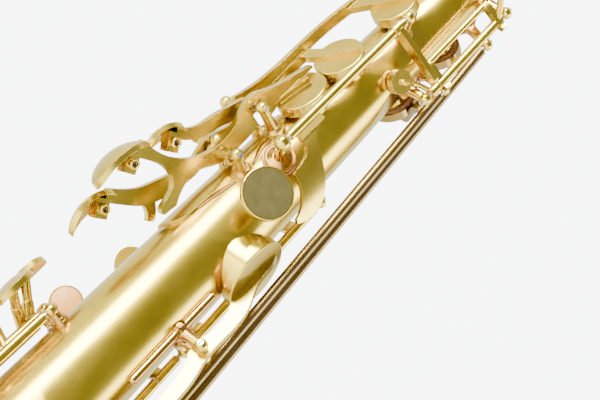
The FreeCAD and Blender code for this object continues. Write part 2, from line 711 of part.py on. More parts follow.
def make_octave_rocker():
    """Open frame that turns the thumb key's push into a lift of either vent."""
    tube = ROCKER_ROD.tube(ROCKER_ROD.at(503.8), ROCKER_ROD.at(532.3))
    level = cross(ROCKER_ANGLE, 0)
    rail = (11.7, -4.2)
    shapes = [tube, cylinder(level.point(*rail, 504.2), level.point(*rail, 531.6), 0.9)]
    for z in (505.2, 530.7):
        bar = Sheet(UP * z, level.first, level.second, UP)
        shapes.append(bar.strap([rail, (13.9, -2.7), (16.2, 0.0), (18.6, 0.8)], 1.1, 1.8))
    knee = polar(120, 15.9, 535.0)
    finger = polar(103, 14.8, 541.0)
    for p, q in ((ROCKER_ROD.at(531.0), knee), (knee, finger)):
        shapes += [cylinder(p, q, 0.95), Part.makeSphere(0.95, q)]
    return ROCKER_ROD.key(shapes)


def make_lower_vent_key():
    theta, z = OCTAVE_VENTS[0]
    shell = vent_cup(theta, z)
    top = outer_radius(z) + VENT_RISE + PAD_GAP + 2.4
    tube = ROCKER_ROD.tube(ROCKER_ROD.at(500.1), ROCKER_ROD.at(503.4))
    start = ROCKER_ROD.at(501.0)
    finish = polar(theta, top + 0.45, z)
    dip = polar(137.5, 13.6, 499.8)
    rise = polar(128, 12.8, 498.0)
    wire = []
    for p, q in ((start, dip), (dip, rise), (rise, finish)):
        wire += [cylinder(p, q, 0.75), Part.makeSphere(0.75, q)]
    arm = join(wire)
    return ROCKER_ROD.key([tube, shell, arm])


def make_upper_vent_key():
    theta, z = OCTAVE_VENTS[1]
    shell = vent_cup(theta, z)
    top = outer_radius(z) + VENT_RISE + PAD_GAP + 2.4
    sheet = meridian(theta)
    lever = sheet.strap([(top + 0.4, z + 1.5), (top + 0.4, z - 2.0), (13.4, 557.0), (13.6, 551.0),
                         (13.2, 545.0),
                         (12.4, 539.0)], [0.8, 0.9, 1.3, 1.7, 1.3, 1.0], 2.4)
    tube = UPPER_VENT_ROD.tube(sheet.point(13.6, 551.0, -2.6), sheet.point(13.6, 551.0, 2.6))
    return UPPER_VENT_ROD.key([shell, lever, tube])


# ---- Side keys ----
SIDE_C_ROD = pivot_rod(SIDE_ANGLE, SIDE_C_PIVOT[0], SIDE_C_PIVOT[1], SIDE_NEAR, SIDE_FAR)
SIDE_C_LEVER_ROD = pivot_rod(SIDE_ANGLE, LEVER_PIVOT[0], LEVER_PIVOT[1], SIDE_NEAR, SIDE_FAR)
SIDE_BB_ROD = pivot_rod(SIDE_BB_ANGLE, 18.6, 355.0, -4.4, 4.4)
HIGH_FS_ROD = Rod(polar(176, 27.2, 352.0), polar(176, 16.4, 528.0))
HIGH_E_ROD = Rod(polar(170, 24.2, 358.5), polar(166, 16.4, 507.0))


def make_side_key_posts():
    shapes = [post(p, [SIDE_C_ROD]) for p in (SIDE_C_ROD.start, SIDE_C_ROD.end)]
    shapes += [post(p, [SIDE_C_LEVER_ROD]) for p in (SIDE_C_LEVER_ROD.start, SIDE_C_LEVER_ROD.end)]
    shapes += [post(p, [SIDE_BB_ROD]) for p in (SIDE_BB_ROD.start, SIDE_BB_ROD.end)]
    shapes += [post(p, [HIGH_FS_ROD]) for p in (HIGH_FS_ROD.start, HIGH_FS_ROD.end)]
    shapes += [post(p, [HIGH_E_ROD]) for p in (HIGH_E_ROD.start, HIGH_E_ROD.end)]
    return shapes


def make_side_rail():
    """Half-round rail soldered along the body beside the side keys."""
    p = polar(SIDE_RAIL_ANGLE, outer_radius(388) + 0.5, 388.0)
    q = polar(SIDE_RAIL_ANGLE + 3, outer_radius(417) + 0.5, 417.0)
    return join([cylinder(p, q, 1.2), Part.makeSphere(1.2, p), Part.makeSphere(1.2, q)]).cut(BODY_SOLID)


def make_side_c_key():
    """Rocker whose cup faces the right and whose tail runs down to the side lever."""
    name = "side_c"
    top = cup_top(name)
    sheet = meridian(SIDE_ANGLE, SIDE_C_PLANE)
    outline = [
        [(top - 0.4, 437.6), (top + 0.4, 436.4), (top + 1.9, 428.0), (20.3, 421.6), (21.3, 415.3),
         (21.2, 409.5),
         (21.4, 404.8), (22.7, 398.7), (23.3, 391.0), (23.0, 382.0), (21.6, 375.0)],
        [(21.6, 375.0), (19.6, 375.0)],
        [(19.6, 375.0), (19.8, 383.0), (19.6, 390.9), (19.4, 395.8), (18.4, 400.2), (16.8, 403.6),
         (16.9, 407.4),
         (17.9, 412.0), (17.2, 417.0), (top - 0.4, 420.6)],
        [(top - 0.4, 420.6), (top - 0.4, 437.6)],
    ]
    lever = sheet.blade(outline, 2.0)
    tube = SIDE_C_ROD.tube(meridian(SIDE_ANGLE).point(*SIDE_C_PIVOT, SIDE_NEAR + 1.9),
                           meridian(SIDE_ANGLE).point(*SIDE_C_PIVOT, SIDE_FAR - 1.9))
    return SIDE_C_ROD.key([lever, cup(name), tube])


def make_side_c_lever():
    """Right-hand lever: hinged at its foot, touch in the middle, upper end over the rocker's tail."""
    sheet = meridian(SIDE_ANGLE, SIDE_C_PLANE)
    path = [(19.0, 304.0), (22.0, 312.0), (24.0, 325.0), (24.6, 345.0), (25.2, 362.0), (24.6, 378.0)]
    lever = sheet.strap(path, [1.9, 1.6, 1.6, 1.4, 1.2, 1.0], 2.0)
    touch = palm_touch(sheet, (25.2, 318.0), (25.8, 336.0), 1.6, 0.15, 4.2)
    tube = SIDE_C_LEVER_ROD.tube(meridian(SIDE_ANGLE).point(*LEVER_PIVOT, SIDE_NEAR + 1.9),
                                 meridian(SIDE_ANGLE).point(*LEVER_PIVOT, SIDE_FAR - 1.9))
    return SIDE_C_LEVER_ROD.key([lever, touch, tube])


def make_side_bb_key():
    name = "side_bb"
    top = cup_top(name)
    sheet = meridian(SIDE_BB_ANGLE)
    lever = sheet.strap([(top + 0.6, 371.0), (top + 0.6, 364.5), (18.3, 359.8), (18.6, 355.0), (20.0, 345.0),
                         (22.6, 334.0)], [0.8, 1.1, 1.5, 1.9, 1.5, 1.4], 2.0)
    touch = palm_touch(sheet, (23.2, 320.0), (23.6, 337.0), 1.6, -0.15, 4.2)
    tube = SIDE_BB_ROD.tube(sheet.point(18.6, 355.0, -2.4), sheet.point(18.6, 355.0, 2.4))
    return SIDE_BB_ROD.key([lever, touch, cup(name), tube])


def long_side_key(rod, name, z_low, z_high, touch_z, shoulder_drop):
    """Key on a long tube: cup arm near the top, side touch near the bottom."""
    theta, z, _ = tone_hole(name)
    tube = rod.tube(rod.at(z_low), rod.at(z_high))
    middle = rod.at(z)
    top = polar(theta, cup_top(name) + 0.4, z)
    crest = polar(theta - 22, cup_top(name) + 2.6, z)
    level = Sheet(UP * z, V(1, 0, 0), V(0, 1, 0), UP)
    shoulder = polar(degrees(atan2(middle.y, middle.x)) + 18,
                     sqrt(middle.x ** 2 + middle.y ** 2) - shoulder_drop, z)
    arm = level.strap([(middle.x, middle.y), (shoulder.x, shoulder.y), (crest.x, crest.y), (top.x, top.y)],
                      ARM_THICKNESS / 2, ARM_WIDTH)
    touch_foot = rod.at(touch_z)
    angle = degrees(atan2(touch_foot.y, touch_foot.x))
    reach = sqrt(touch_foot.x ** 2 + touch_foot.y ** 2)
    stem = cross(angle, touch_z).strap([(reach, 0.0), (reach + 2.4, -1.0), (reach + 2.9, -3.4)], 0.9, 6.0)
    touch = palm_touch(meridian(angle, -2.9), (reach + 2.2, touch_z - 8), (reach + 2.2, touch_z + 8), 1.4,
                       0.2, 2.9)
    return rod.key([tube, arm, cup(name), stem, touch])


# ---- Finger stacks on the front ----
UPPER_ROD = body_rod(STACK_ANGLE, STACK_HEIGHT, 361.0, 462.0)
LOWER_ROD = body_rod(STACK_ANGLE, STACK_HEIGHT, 235.0, 344.0)


def make_stack_posts():
    middle_upper = post(UPPER_ROD.at(406.4), [UPPER_ROD])
    middle_lower = post(LOWER_ROD.at(290.4), [LOWER_ROD])
    ends = [post(p, [rod]) for rod in (UPPER_ROD, LOWER_ROD) for p in (rod.start, rod.end)]
    return ends + [middle_upper, middle_lower]


def cup_arm(rod, name, length=0.0):
    """Arm from the rod's tube, over the edge of the cup, to its middle."""
    theta, z, diameter = tone_hole(name)
    centre = rod.at(z)
    toward = centre - UP * z
    n = toward.dot(out(theta))
    t = toward.dot(around(theta))
    side = 1 if t > 0 else -1
    edge = diameter / 2 + CUP_MARGIN
    top = cup_top(name) + ARM_THICKNESS / 2 - 0.2
    path = [(n, t), (n + (top - n) * 0.62, t - side * (abs(t) - edge) * 0.35), (top, side * edge * 0.8),
            (top, side * edge * 0.35), (top, -side * length)]
    return cross(theta, z).strap(path, ARM_THICKNESS / 2, ARM_WIDTH)


def pearl_arm(name, n_pearl, path):
    """Arm that rises from the cup's middle and runs to a finger pearl's brass dish."""
    theta, z, _ = tone_hole(name)
    low = cup_top(name)
    riser = cylinder(polar(theta, low - 0.2, z), polar(theta, n_pearl, z), 1.7)
    strap = facing(theta, n_pearl - ARM_THICKNESS / 2).strap(path, 1.7, ARM_THICKNESS)
    t, z_pearl = path[-1]
    dish_base = facing(theta, 0).point(t, z_pearl, n_pearl - ARM_THICKNESS)
    dish = cylinder(dish_base, dish_base + out(theta) * (ARM_THICKNESS + PEARL_HEIGHT - 0.8), PEARL_R)
    well = cylinder(dish_base + out(theta) * (ARM_THICKNESS - 0.4), dish_base + out(theta) * 9,
                    PEARL_R - 0.6)
    return join([riser, strap, dish]).cut(well)


def stack_key(rod, z_low, z_high, names, pearl=None, lift=STACK_LIFT):
    """One finger key: tube, cups with their arms, and a pearl dish; shown raised at rest."""
    shapes = [rod.tube(rod.at(z_low), rod.at(z_high))]
    for name in names:
        shapes.append(cup(name))
        shapes.append(cup_arm(rod, name))
    if pearl:
        shapes.append(pearl_arm(*pearl))
    pads = [pad(name) for name in names]
    closed = rod.key(shapes).cut(Part.makeCompound(pads))
    return turned(closed, rod, lift), [turned(p, rod, lift) for p in pads]


STACK_KEYS = {
    "b_key": (UPPER_ROD, 426.0, 459.4, ["b", "c_vent"], ("b", 20.6, [(0, 431), (2.5, 436), (5.5, 442)])),
    "bis_key": (UPPER_ROD, 411.2, 425.6, ["bis"], ("bis", 23.4, [(0, 414), (2.0, 421), (6.5, 430)])),
    "a_key": (UPPER_ROD, 396.0, 403.9, ["a"], ("a", 20.8, [(0, 398), (6.5, 406), (11.5, 417)])),
    "g_key": (UPPER_ROD, 363.4, 395.6, ["g"], ("g", 20.6, [(0, 374), (10.5, 385), (16.3, 397)])),
    "fs_key": (LOWER_ROD, 316.0, 341.4, ["fs"], None),
    "f_key": (LOWER_ROD, 292.8, 315.6, ["f"], ("f", 23.4, [(0, 303), (6.0, 304)])),
    "e_key": (LOWER_ROD, 264.0, 288.0, ["e"], ("e", 24.2, [(0, 276), (6.0, 277)])),
    "d_key": (LOWER_ROD, 237.6, 263.6, ["d"], ("d", 25.0, [(0, 248), (6.0, 249)])),
}


# ---- Low keys ----
LOW_ROD = body_rod(-147, 5.0, 170.0, 229.0)
GS_ROD = body_rod(-26, 4.5, 340.0, 386.5)
CS_ROD = body_rod(-10, 4.5, 138.0, 386.5)
B_ROD = body_rod(4, 4.5, 98.0, 386.5)
BB_ROD = body_rod(18, 4.5, 66.0, 386.5)


def make_low_key_posts():
    shapes = []
    for rod in (LOW_ROD, GS_ROD, CS_ROD, B_ROD, BB_ROD):
        shapes += [post(rod.start, [rod], foot_r=2.2), post(rod.end, [rod], foot_r=2.2)]
    return shapes


def table_touch(rod, z_arm, theta_touch, z_touch, half_length, half_width):
    """Little-finger touch: an arm out of the tube to a domed oval plate."""
    centre = rod.at(z_arm)
    foot = (sqrt(centre.x ** 2 + centre.y ** 2), degrees(atan2(centre.y, centre.x)))
    plate_point = polar(theta_touch, TABLE_REACH, z_touch)
    knee = polar((foot[1] + theta_touch) / 2, foot[0] + 5.0, (z_arm + z_touch) / 2)
    under = polar(theta_touch, TABLE_REACH - 1.2, z_touch)
    arm = join([cylinder(centre, knee, 1.5), Part.makeSphere(1.5, knee), cylinder(knee, under, 1.3)])
    plate = dome(plate_point, out(theta_touch), UP, half_length, half_width, 16.0, 1.5)
    boss = cylinder(polar(theta_touch, TABLE_REACH - 2.4, z_touch),
                    polar(theta_touch, TABLE_REACH - 0.7, z_touch), 2.2)
    return [arm, plate, boss]


def low_key(rod, spans, name, touch=None, lift=0.0):
    shapes = [cup(name), cup_arm(rod, name, 2.0)]
    for z_low, z_high in spans:
        shapes.append(rod.tube(rod.at(z_low), rod.at(z_high)))
    if touch:
        shapes += touch
    closed = rod.key(shapes).cut(pad(name))
    return turned(closed, rod, lift), [turned(pad(name), rod, lift)]


def right_touch(rod, z, theta_touch, reach, half_length):
    """Right little-finger touch, joined to its tube by a bent arm."""
    centre = rod.at(z)
    r = sqrt(centre.x ** 2 + centre.y ** 2)
    angle = degrees(atan2(centre.y, centre.x))
    knee = polar((angle + theta_touch) / 2, (r + reach) / 2 + 1.5, z)
    under = polar(theta_touch, reach - 1.2, z)
    arm = join([cylinder(centre, knee, 1.4), Part.makeSphere(1.4, knee), cylinder(knee, under, 1.3)])
    return [arm, dome(polar(theta_touch, reach, z), out(theta_touch), UP, half_length, 4.6, 18.0, 1.5)]


def make_low_keys():
    eb = low_key(LOW_ROD, [(203.4, 226.6)], "low_eb", right_touch(LOW_ROD, 222.0, -166, 29.0, 7.0))
    c = low_key(LOW_ROD, [(172.4, 203.0)], "low_c", right_touch(LOW_ROD, 200.5, -124, 31.5, 6.5),
                -LOW_KEY_LIFT)
    cs = low_key(CS_ROD, [(140.4, 384.2)], "low_cs", table_touch(CS_ROD, 380.0, 10, 384.0, 6.0, 4.4))
    b = low_key(B_ROD, [(100.4, 384.2)], "low_b", table_touch(B_ROD, 373.0, -14, 377.0, 6.0, 4.4),
                LOW_KEY_LIFT)
    bb = low_key(BB_ROD, [(68.4, 384.2)], "low_bb", table_touch(BB_ROD, 366.0, 8, 370.0, 6.0, 4.4),
                 LOW_KEY_LIFT)
    gs = low_key(GS_ROD, [(342.4, 384.2)], "gs", table_touch(GS_ROD, 382.0, -13, 390.6, 6.2, 4.6))
    return {"low_eb_key": eb, "low_c_key": c, "low_cs_key": cs, "low_b_key": b, "low_bb_key": bb,
            "gs_key": gs}


def make_key_guard():
    """Strap that arches over the two lowest cups, on two feet, with a felt bumper over each cup."""
    top = 40.5
    path = [(outer_radius(58) - 1.0, 58.6), (31.0, 58.8), (38.0, 61.0), (top, 70.0), (top, 98.0),
            (top, 124.0),
            (37.0, 133.5), (30.0, 136.8), (outer_radius(137) - 1.0, 137.2)]
    strap = meridian(GUARD_ANGLE).strap(path, 0.8, 5.0)
    feet = [cylinder(polar(GUARD_ANGLE, 15, z), polar(GUARD_ANGLE, outer_radius(z) + 1.0, z), 2.6)
            for z in (58.6, 137.2)]
    cores = [ring(polar(GUARD_ANGLE, top - 1.6, z), polar(GUARD_ANGLE, top + 1.2, z), 3.4,
                  2.2) for z in GUARD_FELT_Z]
    shape = join([strap] + feet + cores).cut(BODY_SOLID)
    for z in GUARD_FELT_Z:
        shape = shape.cut(cylinder(polar(GUARD_ANGLE, top - 3, z), polar(GUARD_ANGLE, top + 3, z), 2.2))
    felts = [cylinder(polar(GUARD_ANGLE, top - 2.2, z), polar(GUARD_ANGLE, top + 1.0, z),
                      2.2) for z in GUARD_FELT_Z]
    return shape, felts


# ---- Thumb pieces and strap ring on the back ----


def make_thumb_rest():
    surface = outer_radius(THUMB_REST_Z)
    top = surface + THUMB_REST_TOP
    disc = cylinder(polar(BACK, top - 1.7, THUMB_REST_Z), polar(BACK, top, THUMB_REST_Z), THUMB_REST_R)
    rim = [e for e in disc.Edges if e.Closed and abs(e.CenterOfMass.y - top) < 0.01]
    disc = disc.makeFillet(0.35, rim)
    pedestal = cone(polar(BACK, surface - 2, THUMB_REST_Z), polar(BACK, top - 1.2, THUMB_REST_Z), 4.6, 4.0)
    return join([disc, pedestal]).cut(BODY_SOLID)


def make_thumb_hook():
    surface = outer_radius(HOOK_Z)
    base = box_blade(facing(BACK, surface + 0.4), -6, 6, HOOK_Z - 9, HOOK_Z + 9, 3.0)
    skin = body_cone(1.2, HOOK_Z - 12, HOOK_Z + 12)
    plate = base.fuse(box_blade(facing(BACK, surface - 2), -6, 6, HOOK_Z - 9, HOOK_Z + 9, 5.0)).common(skin)
    path = [(surface, HOOK_Z + 3.0), (surface + 5.0, HOOK_Z + 4.2), (surface + 12.0, HOOK_Z + 2.8),
            (surface + 18.0, HOOK_Z - 3.0), (surface + 20.0, HOOK_Z - 11.0)]
    hook = meridian(BACK).strap(path, [1.4, 1.3, 1.2, 1.1, 1.0], 9.0)
    return join([plate, hook]).cut(BODY_SOLID)


def make_strap_ring():
    surface = outer_radius(STRAP_Z)
    base = cylinder(polar(BACK, surface - 3, STRAP_Z), polar(BACK, surface + 1.2, STRAP_Z), 5.2)
    neck = cone(polar(BACK, surface, STRAP_Z), polar(BACK, surface + 4.0, STRAP_Z), 3.0, 2.0)
    centre = strap_centre()
    half = around(BACK) * (STRAP_RING_WIDTH / 2)
    loop = cylinder(centre - half, centre + half, STRAP_RING_R)
    shape = join([base, neck, loop]).cut(BODY_SOLID)
    return shape.cut(cylinder(centre - half * 3, centre + half * 3, STRAP_HOLE_R))


def strap_centre():
    return polar(BACK, outer_radius(STRAP_Z) + 2.4 + STRAP_RING_R, STRAP_Z)


# ---- Neck and mouthpiece ----

def bore_cone(z_low, z_high):
    return body_cone(-WALL, z_low, z_high)


def make_neck():
    tenon_foot = RECEIVER_Z + 0.2
    collar_foot = BODY_TOP_Z + 0.2
    tenon = cylinder(UP * tenon_foot, UP * (collar_foot + 1), TENON_R)
    collar = cylinder(UP * collar_foot, UP * (collar_foot + NECK_COLLAR_HEIGHT), NECK_COLLAR_R)
    collar = collar.makeFillet(0.7, [e for e in collar.Edges if e.Closed])
    tube = body_cone(0.0, collar_foot, NECK_TIP_Z)
    sleeve = body_cone(0.9, collar_foot, CORK_START_Z - 1.0)
    shape = join([tenon, collar, tube, sleeve])
    return shape.cut(bore_cone(tenon_foot - 1, NECK_TIP_Z + 1))


def make_neck_cork():
    cork = cylinder(UP * CORK_START_Z, UP * (NECK_TIP_Z - 0.8), CORK_R)
    return cork.cut(body_cone(0.0, CORK_START_Z - 1, NECK_TIP_Z + 1))


def revolved(points):
    """Solid of revolution about the bore from (radius, z) points."""
    corners = [V(r, 0, z) for r, z in points]
    wire = Part.makePolygon(corners + [corners[0]])
    return Part.Face(wire).revolve(V(0, 0, 0), UP, 360)


def make_mouthpiece():
    """Hard-rubber mouthpiece: round shank and barrel, sloping beak, flat table with its window."""
    z0, z1 = MOUTHPIECE_START_Z, MOUTHPIECE_TIP_Z
    barrel = revolved([(0, z0), (8.4, z0), (9.0, z0 + 1.2), (9.0, z0 + 4.0), (8.7, z0 + 5.0),
                       (MOUTHPIECE_R, z0 + 22), (MOUTHPIECE_R, z0 + 44), (8.9, z1), (0, z1)])
    table = Part.makeBox(40, 20, 60, V(-20, TABLE_Y, REED_HEEL_Z - 4))
    wedge = Part.makePolygon([V(-20, TABLE_Y - 1.0, z1 + 0.01), V(-20, -12, z1 - 29), V(-20, -30, z1 - 29),
                              V(-20, -30, z1 + 1), V(-20, TABLE_Y - 1.0, z1 + 1), V(-20, TABLE_Y - 1.0,
                                                                                    z1 + 0.01)])
    wedge = Part.Face(wedge).extrude(V(40, 0, 0))
    shape = barrel.cut(table).cut(wedge)
    shape = shape.cut(cylinder(UP * (z0 - 1), UP * (z0 + SHANK_DEPTH), CORK_R + SHANK_BORE_GAP))
    shape = shape.cut(cylinder(UP * (z0 + SHANK_DEPTH - 1), UP * (z0 + 34), CHAMBER_R))
    window = Part.makeBox(10.4, 9.0, 36.0, V(-5.2, TABLE_Y - 6.0, z0 + 30))
    tip_wedge = Part.makePolygon([V(-6, TABLE_Y - 0.9, z1 - 2.0), V(-6, TABLE_Y - 5.0, z1 - 22),
                                  V(-6, -20, z1 - 22), V(-6, -20, z1 + 5), V(-6, TABLE_Y - 0.9, z1 + 5),
                                  V(-6, TABLE_Y - 0.9, z1 - 2.0)])
    window = window.cut(Part.Face(tip_wedge).extrude(V(12, 0, 0)))
    return shape.cut(window)


def make_reed():
    """Cane reed: flat on the table side, rounded behind, shaved to a thin tip."""
    top = MOUTHPIECE_TIP_Z - 0.3
    vamp = REED_HEEL_Z + 20
    profile = Part.makePolygon([V(0, TABLE_Y, REED_HEEL_Z), V(0, TABLE_Y + REED_THICKNESS, REED_HEEL_Z),
                                V(0, TABLE_Y + REED_THICKNESS, vamp), V(0, TABLE_Y + 1.1, vamp + 14),
                                V(0, TABLE_Y + 0.25, top), V(0, TABLE_Y, top), V(0, TABLE_Y, REED_HEEL_Z)])
    blank = Part.Face(profile).extrude(V(13, 0, 0))
    blank.translate(V(-6.5, 0, 0))
    round_back = cylinder(V(0, TABLE_Y - 7.3, REED_HEEL_Z - 1), V(0, TABLE_Y - 7.3, top + 1), 10.2)
    return blank.common(round_back)


def make_ligature():
    z_low, z_high = LIGATURE_Z
    height = z_high - z_low
    inner = MOUTHPIECE_R + LIGATURE_GAP
    reed_y = TABLE_Y + REED_THICKNESS + LIGATURE_GAP
    outside = Part.makeCylinder(inner + 0.8, height, UP * z_low).fuse(
        Part.makeBox(14.6, reed_y + 0.8, height, V(-7.3, 0, z_low)))
    inside = Part.makeCylinder(inner, height + 2, UP * (z_low - 1)).fuse(
        Part.makeBox(13.2, reed_y, height + 2, V(-6.6, 0, z_low - 1)))
    lugs = []
    for z in (z_low + 3.5, z_high - 3.5):
        for x in (-4.6, 1.8):
            lugs.append(Part.makeBox(2.8, 4.6, 4.4, V(x, reed_y + 0.4, z - 2.2)))
    shape = outside.cut(inside).multiFuse(lugs)
    shape = shape.cut(Part.makeBox(2.0, 12, height + 2, V(-1.0, reed_y - 0.5, z_low - 1)))
    y = reed_y + 3.0
    screws = []
    for z in (z_low + 3.5, z_high - 3.5):
        shape = shape.cut(cylinder(V(-9, y, z), V(9, y, z), 0.95))
        shank = cylinder(V(-4.6, y, z), V(5.0, y, z), 0.93)
        head = cylinder(V(5.0, y, z), V(8.6, y, z), 2.2)
        for i in range(12):
            groove = Part.makeBox(3.0, 0.4, 0.4)
            groove.translate(V(5.3, 2.0, -0.2))
            groove.rotate(V(0, 0, 0), V(1, 0, 0), i * 30)
            groove.translate(V(0, y, z))
            head = head.cut(groove)
        screws.append(join([shank, head]))
    return shape, screws


# ============================ everything ============================

OPEN_KEYS = ["b_key", "a_key", "g_key", "f_key", "e_key", "d_key", "low_c_key", "low_b_key", "low_bb_key"]


def make_all():
    os.makedirs("parts", exist_ok=True)
    save("body_tube", [make_body_tube()])
    save("bell", [make_bell()])
    save("bell_ring", [make_bell_ring()])
    save("neck_receiver", [make_neck_receiver()])
    save("neck_screw", [make_neck_screw()])
    save("octave_vent_pips", make_vent_pips())
    save("palm_key_mount", [make_palm_mount()])
    save("octave_posts", [join(make_octave_posts())])
    rail = make_side_rail()
    save("side_rail", [rail])
    save("side_key_posts", [join(make_side_key_posts()).cut(rail)])
    save("stack_posts", [join(make_stack_posts())])
    save("low_key_posts", [join(make_low_key_posts())])
    rods = [D_ROD, EB_ROD, F_ROD, OCTAVE_ROD, ROCKER_ROD, UPPER_VENT_ROD, SIDE_C_ROD, SIDE_C_LEVER_ROD,
            SIDE_BB_ROD, HIGH_FS_ROD, HIGH_E_ROD, UPPER_ROD, LOWER_ROD, LOW_ROD, GS_ROD, CS_ROD,
            B_ROD, BB_ROD]
    save("hinge_rods", [rod.solid() for rod in rods])
    save("thumb_rest", [make_thumb_rest()])
    save("thumb_hook", [make_thumb_hook()])
    save("strap_ring", [make_strap_ring()])
    guard, felts = make_key_guard()
    save("key_guard", [guard])
    save("guard_felts", felts)
    save("neck", [make_neck()])
    save("neck_cork", [make_neck_cork()])
    save("mouthpiece", [make_mouthpiece()])
    save("reed", [make_reed()])
    ligature, screws = make_ligature()
    save("ligature", [ligature])
    save("ligature_screw_low", [screws[0]])
    save("ligature_screw_high", [screws[1]])
    save("palm_d_key", [make_palm_d_key()])
    save("palm_eb_key", [make_palm_eb_key()])
    save("palm_f_key", [make_palm_f_key()])
    save("octave_thumb_key", [make_octave_thumb_key()])
    save("octave_rocker", [make_octave_rocker()])
    save("lower_vent_key", [make_lower_vent_key()])
    save("upper_vent_key", [make_upper_vent_key()])
    save("side_c_key", [make_side_c_key()])
    save("side_c_lever", [make_side_c_lever()])
    save("side_bb_key", [make_side_bb_key()])
    save("high_e_key", [long_side_key(HIGH_E_ROD, "high_e", 361.0, 504.5, 384.0, 2.5)])
    save("high_fs_key", [long_side_key(HIGH_FS_ROD, "high_fs", 354.6, 525.4, 364.0, 0.4)])
    for name, spec in STACK_KEYS.items():
        key, pads = stack_key(*spec)
        save(name, [key])
        if name in OPEN_KEYS:
            save(name.replace("_key", "_pads"), pads)
    for name, (key, pads) in make_low_keys().items():
        save(name, [key])
        if name in OPEN_KEYS:
            save(name.replace("_key", "_pads"), pads)


make_all()
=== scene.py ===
"""Soprano saxophone in aged satin brass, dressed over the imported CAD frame."""
from math import atan2, cos, degrees, pi, radians, sin, sqrt, tan

import bmesh
import bpy
from mathutils import Matrix, Vector


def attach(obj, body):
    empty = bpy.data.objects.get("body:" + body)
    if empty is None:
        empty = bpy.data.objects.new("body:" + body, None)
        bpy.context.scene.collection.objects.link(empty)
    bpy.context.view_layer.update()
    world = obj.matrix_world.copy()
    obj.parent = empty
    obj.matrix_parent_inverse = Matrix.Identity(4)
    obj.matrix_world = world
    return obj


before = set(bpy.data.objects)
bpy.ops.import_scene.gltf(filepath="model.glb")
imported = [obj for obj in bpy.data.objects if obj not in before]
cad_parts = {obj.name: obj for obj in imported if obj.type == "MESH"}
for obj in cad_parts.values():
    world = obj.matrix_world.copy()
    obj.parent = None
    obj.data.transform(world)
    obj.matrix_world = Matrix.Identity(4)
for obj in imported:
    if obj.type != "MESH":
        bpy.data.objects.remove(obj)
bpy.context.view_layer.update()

MM = 0.001
UP = Vector((0, 0, 1))

# Driving dimensions of the instrument, in mm, as the CAD has them.
APEX_Z = 790.0
CONE_SLOPE = tan(radians(1.74))
WALL = 0.6
CHIMNEY_RISE = 1.0
CUP_MARGIN = 2.2
CUP_WALL = 0.6
CUP_TOP_RISE = 4.25
ARM_THICKNESS = 1.6
DISH_WELL_DEPTH = 0.4
STACK_LIFT = -10.0
THUMB_REST_Z = 443.0
VENT_RISE = 2.0

# Clearances of a pad in its cup, in mm: over the chimney, round the pad, and behind it.
PAD_GAP = 0.12
PAD_SIDE_GAP = 0.1
PAD_BACK_GAP = 0.05
# Radius of a pearl, a little less than the 4 mm well of its dish.
PEARL_R = 3.9

LATHE_TURNS = 48

# Where each key that is drawn closed has its tone hole: (angle, z, diameter).
CLOSED_HOLES = {
    "gs_key": (-64, 351.0, 14.0),
    "low_eb_key": (-92, 219.0, 22.6),
    "low_cs_key": (-54, 155.0, 24.6),
    "side_c_key": (150, 429.6, 15.4),
    "side_bb_key": (124, 367.0, 12.6),
    "palm_d_key": (34, 473.5, 10.5),
    "palm_eb_key": (36, 488.5, 10.0),
    "palm_f_key": (35, 511.5, 9.0),
    "high_e_key": (-140, 499.0, 10.0),
    "high_fs_key": (-140, 520.0, 8.6),
}


def outer_radius(z):
    """Outside radius of the body cone at height z, in mm."""
    return (APEX_Z - z) * CONE_SLOPE + WALL


def polar(theta, r, z):
    """Point in metres from an angle in degrees and a radius and height in mm."""
    return Vector((r * cos(radians(theta)), r * sin(radians(theta)), z)) * MM


def out(theta):
    """Direction straight out of the bore at an angle in degrees."""
    return Vector((cos(radians(theta)), sin(radians(theta)), 0))


# ------------------------------ node helpers ------------------------------

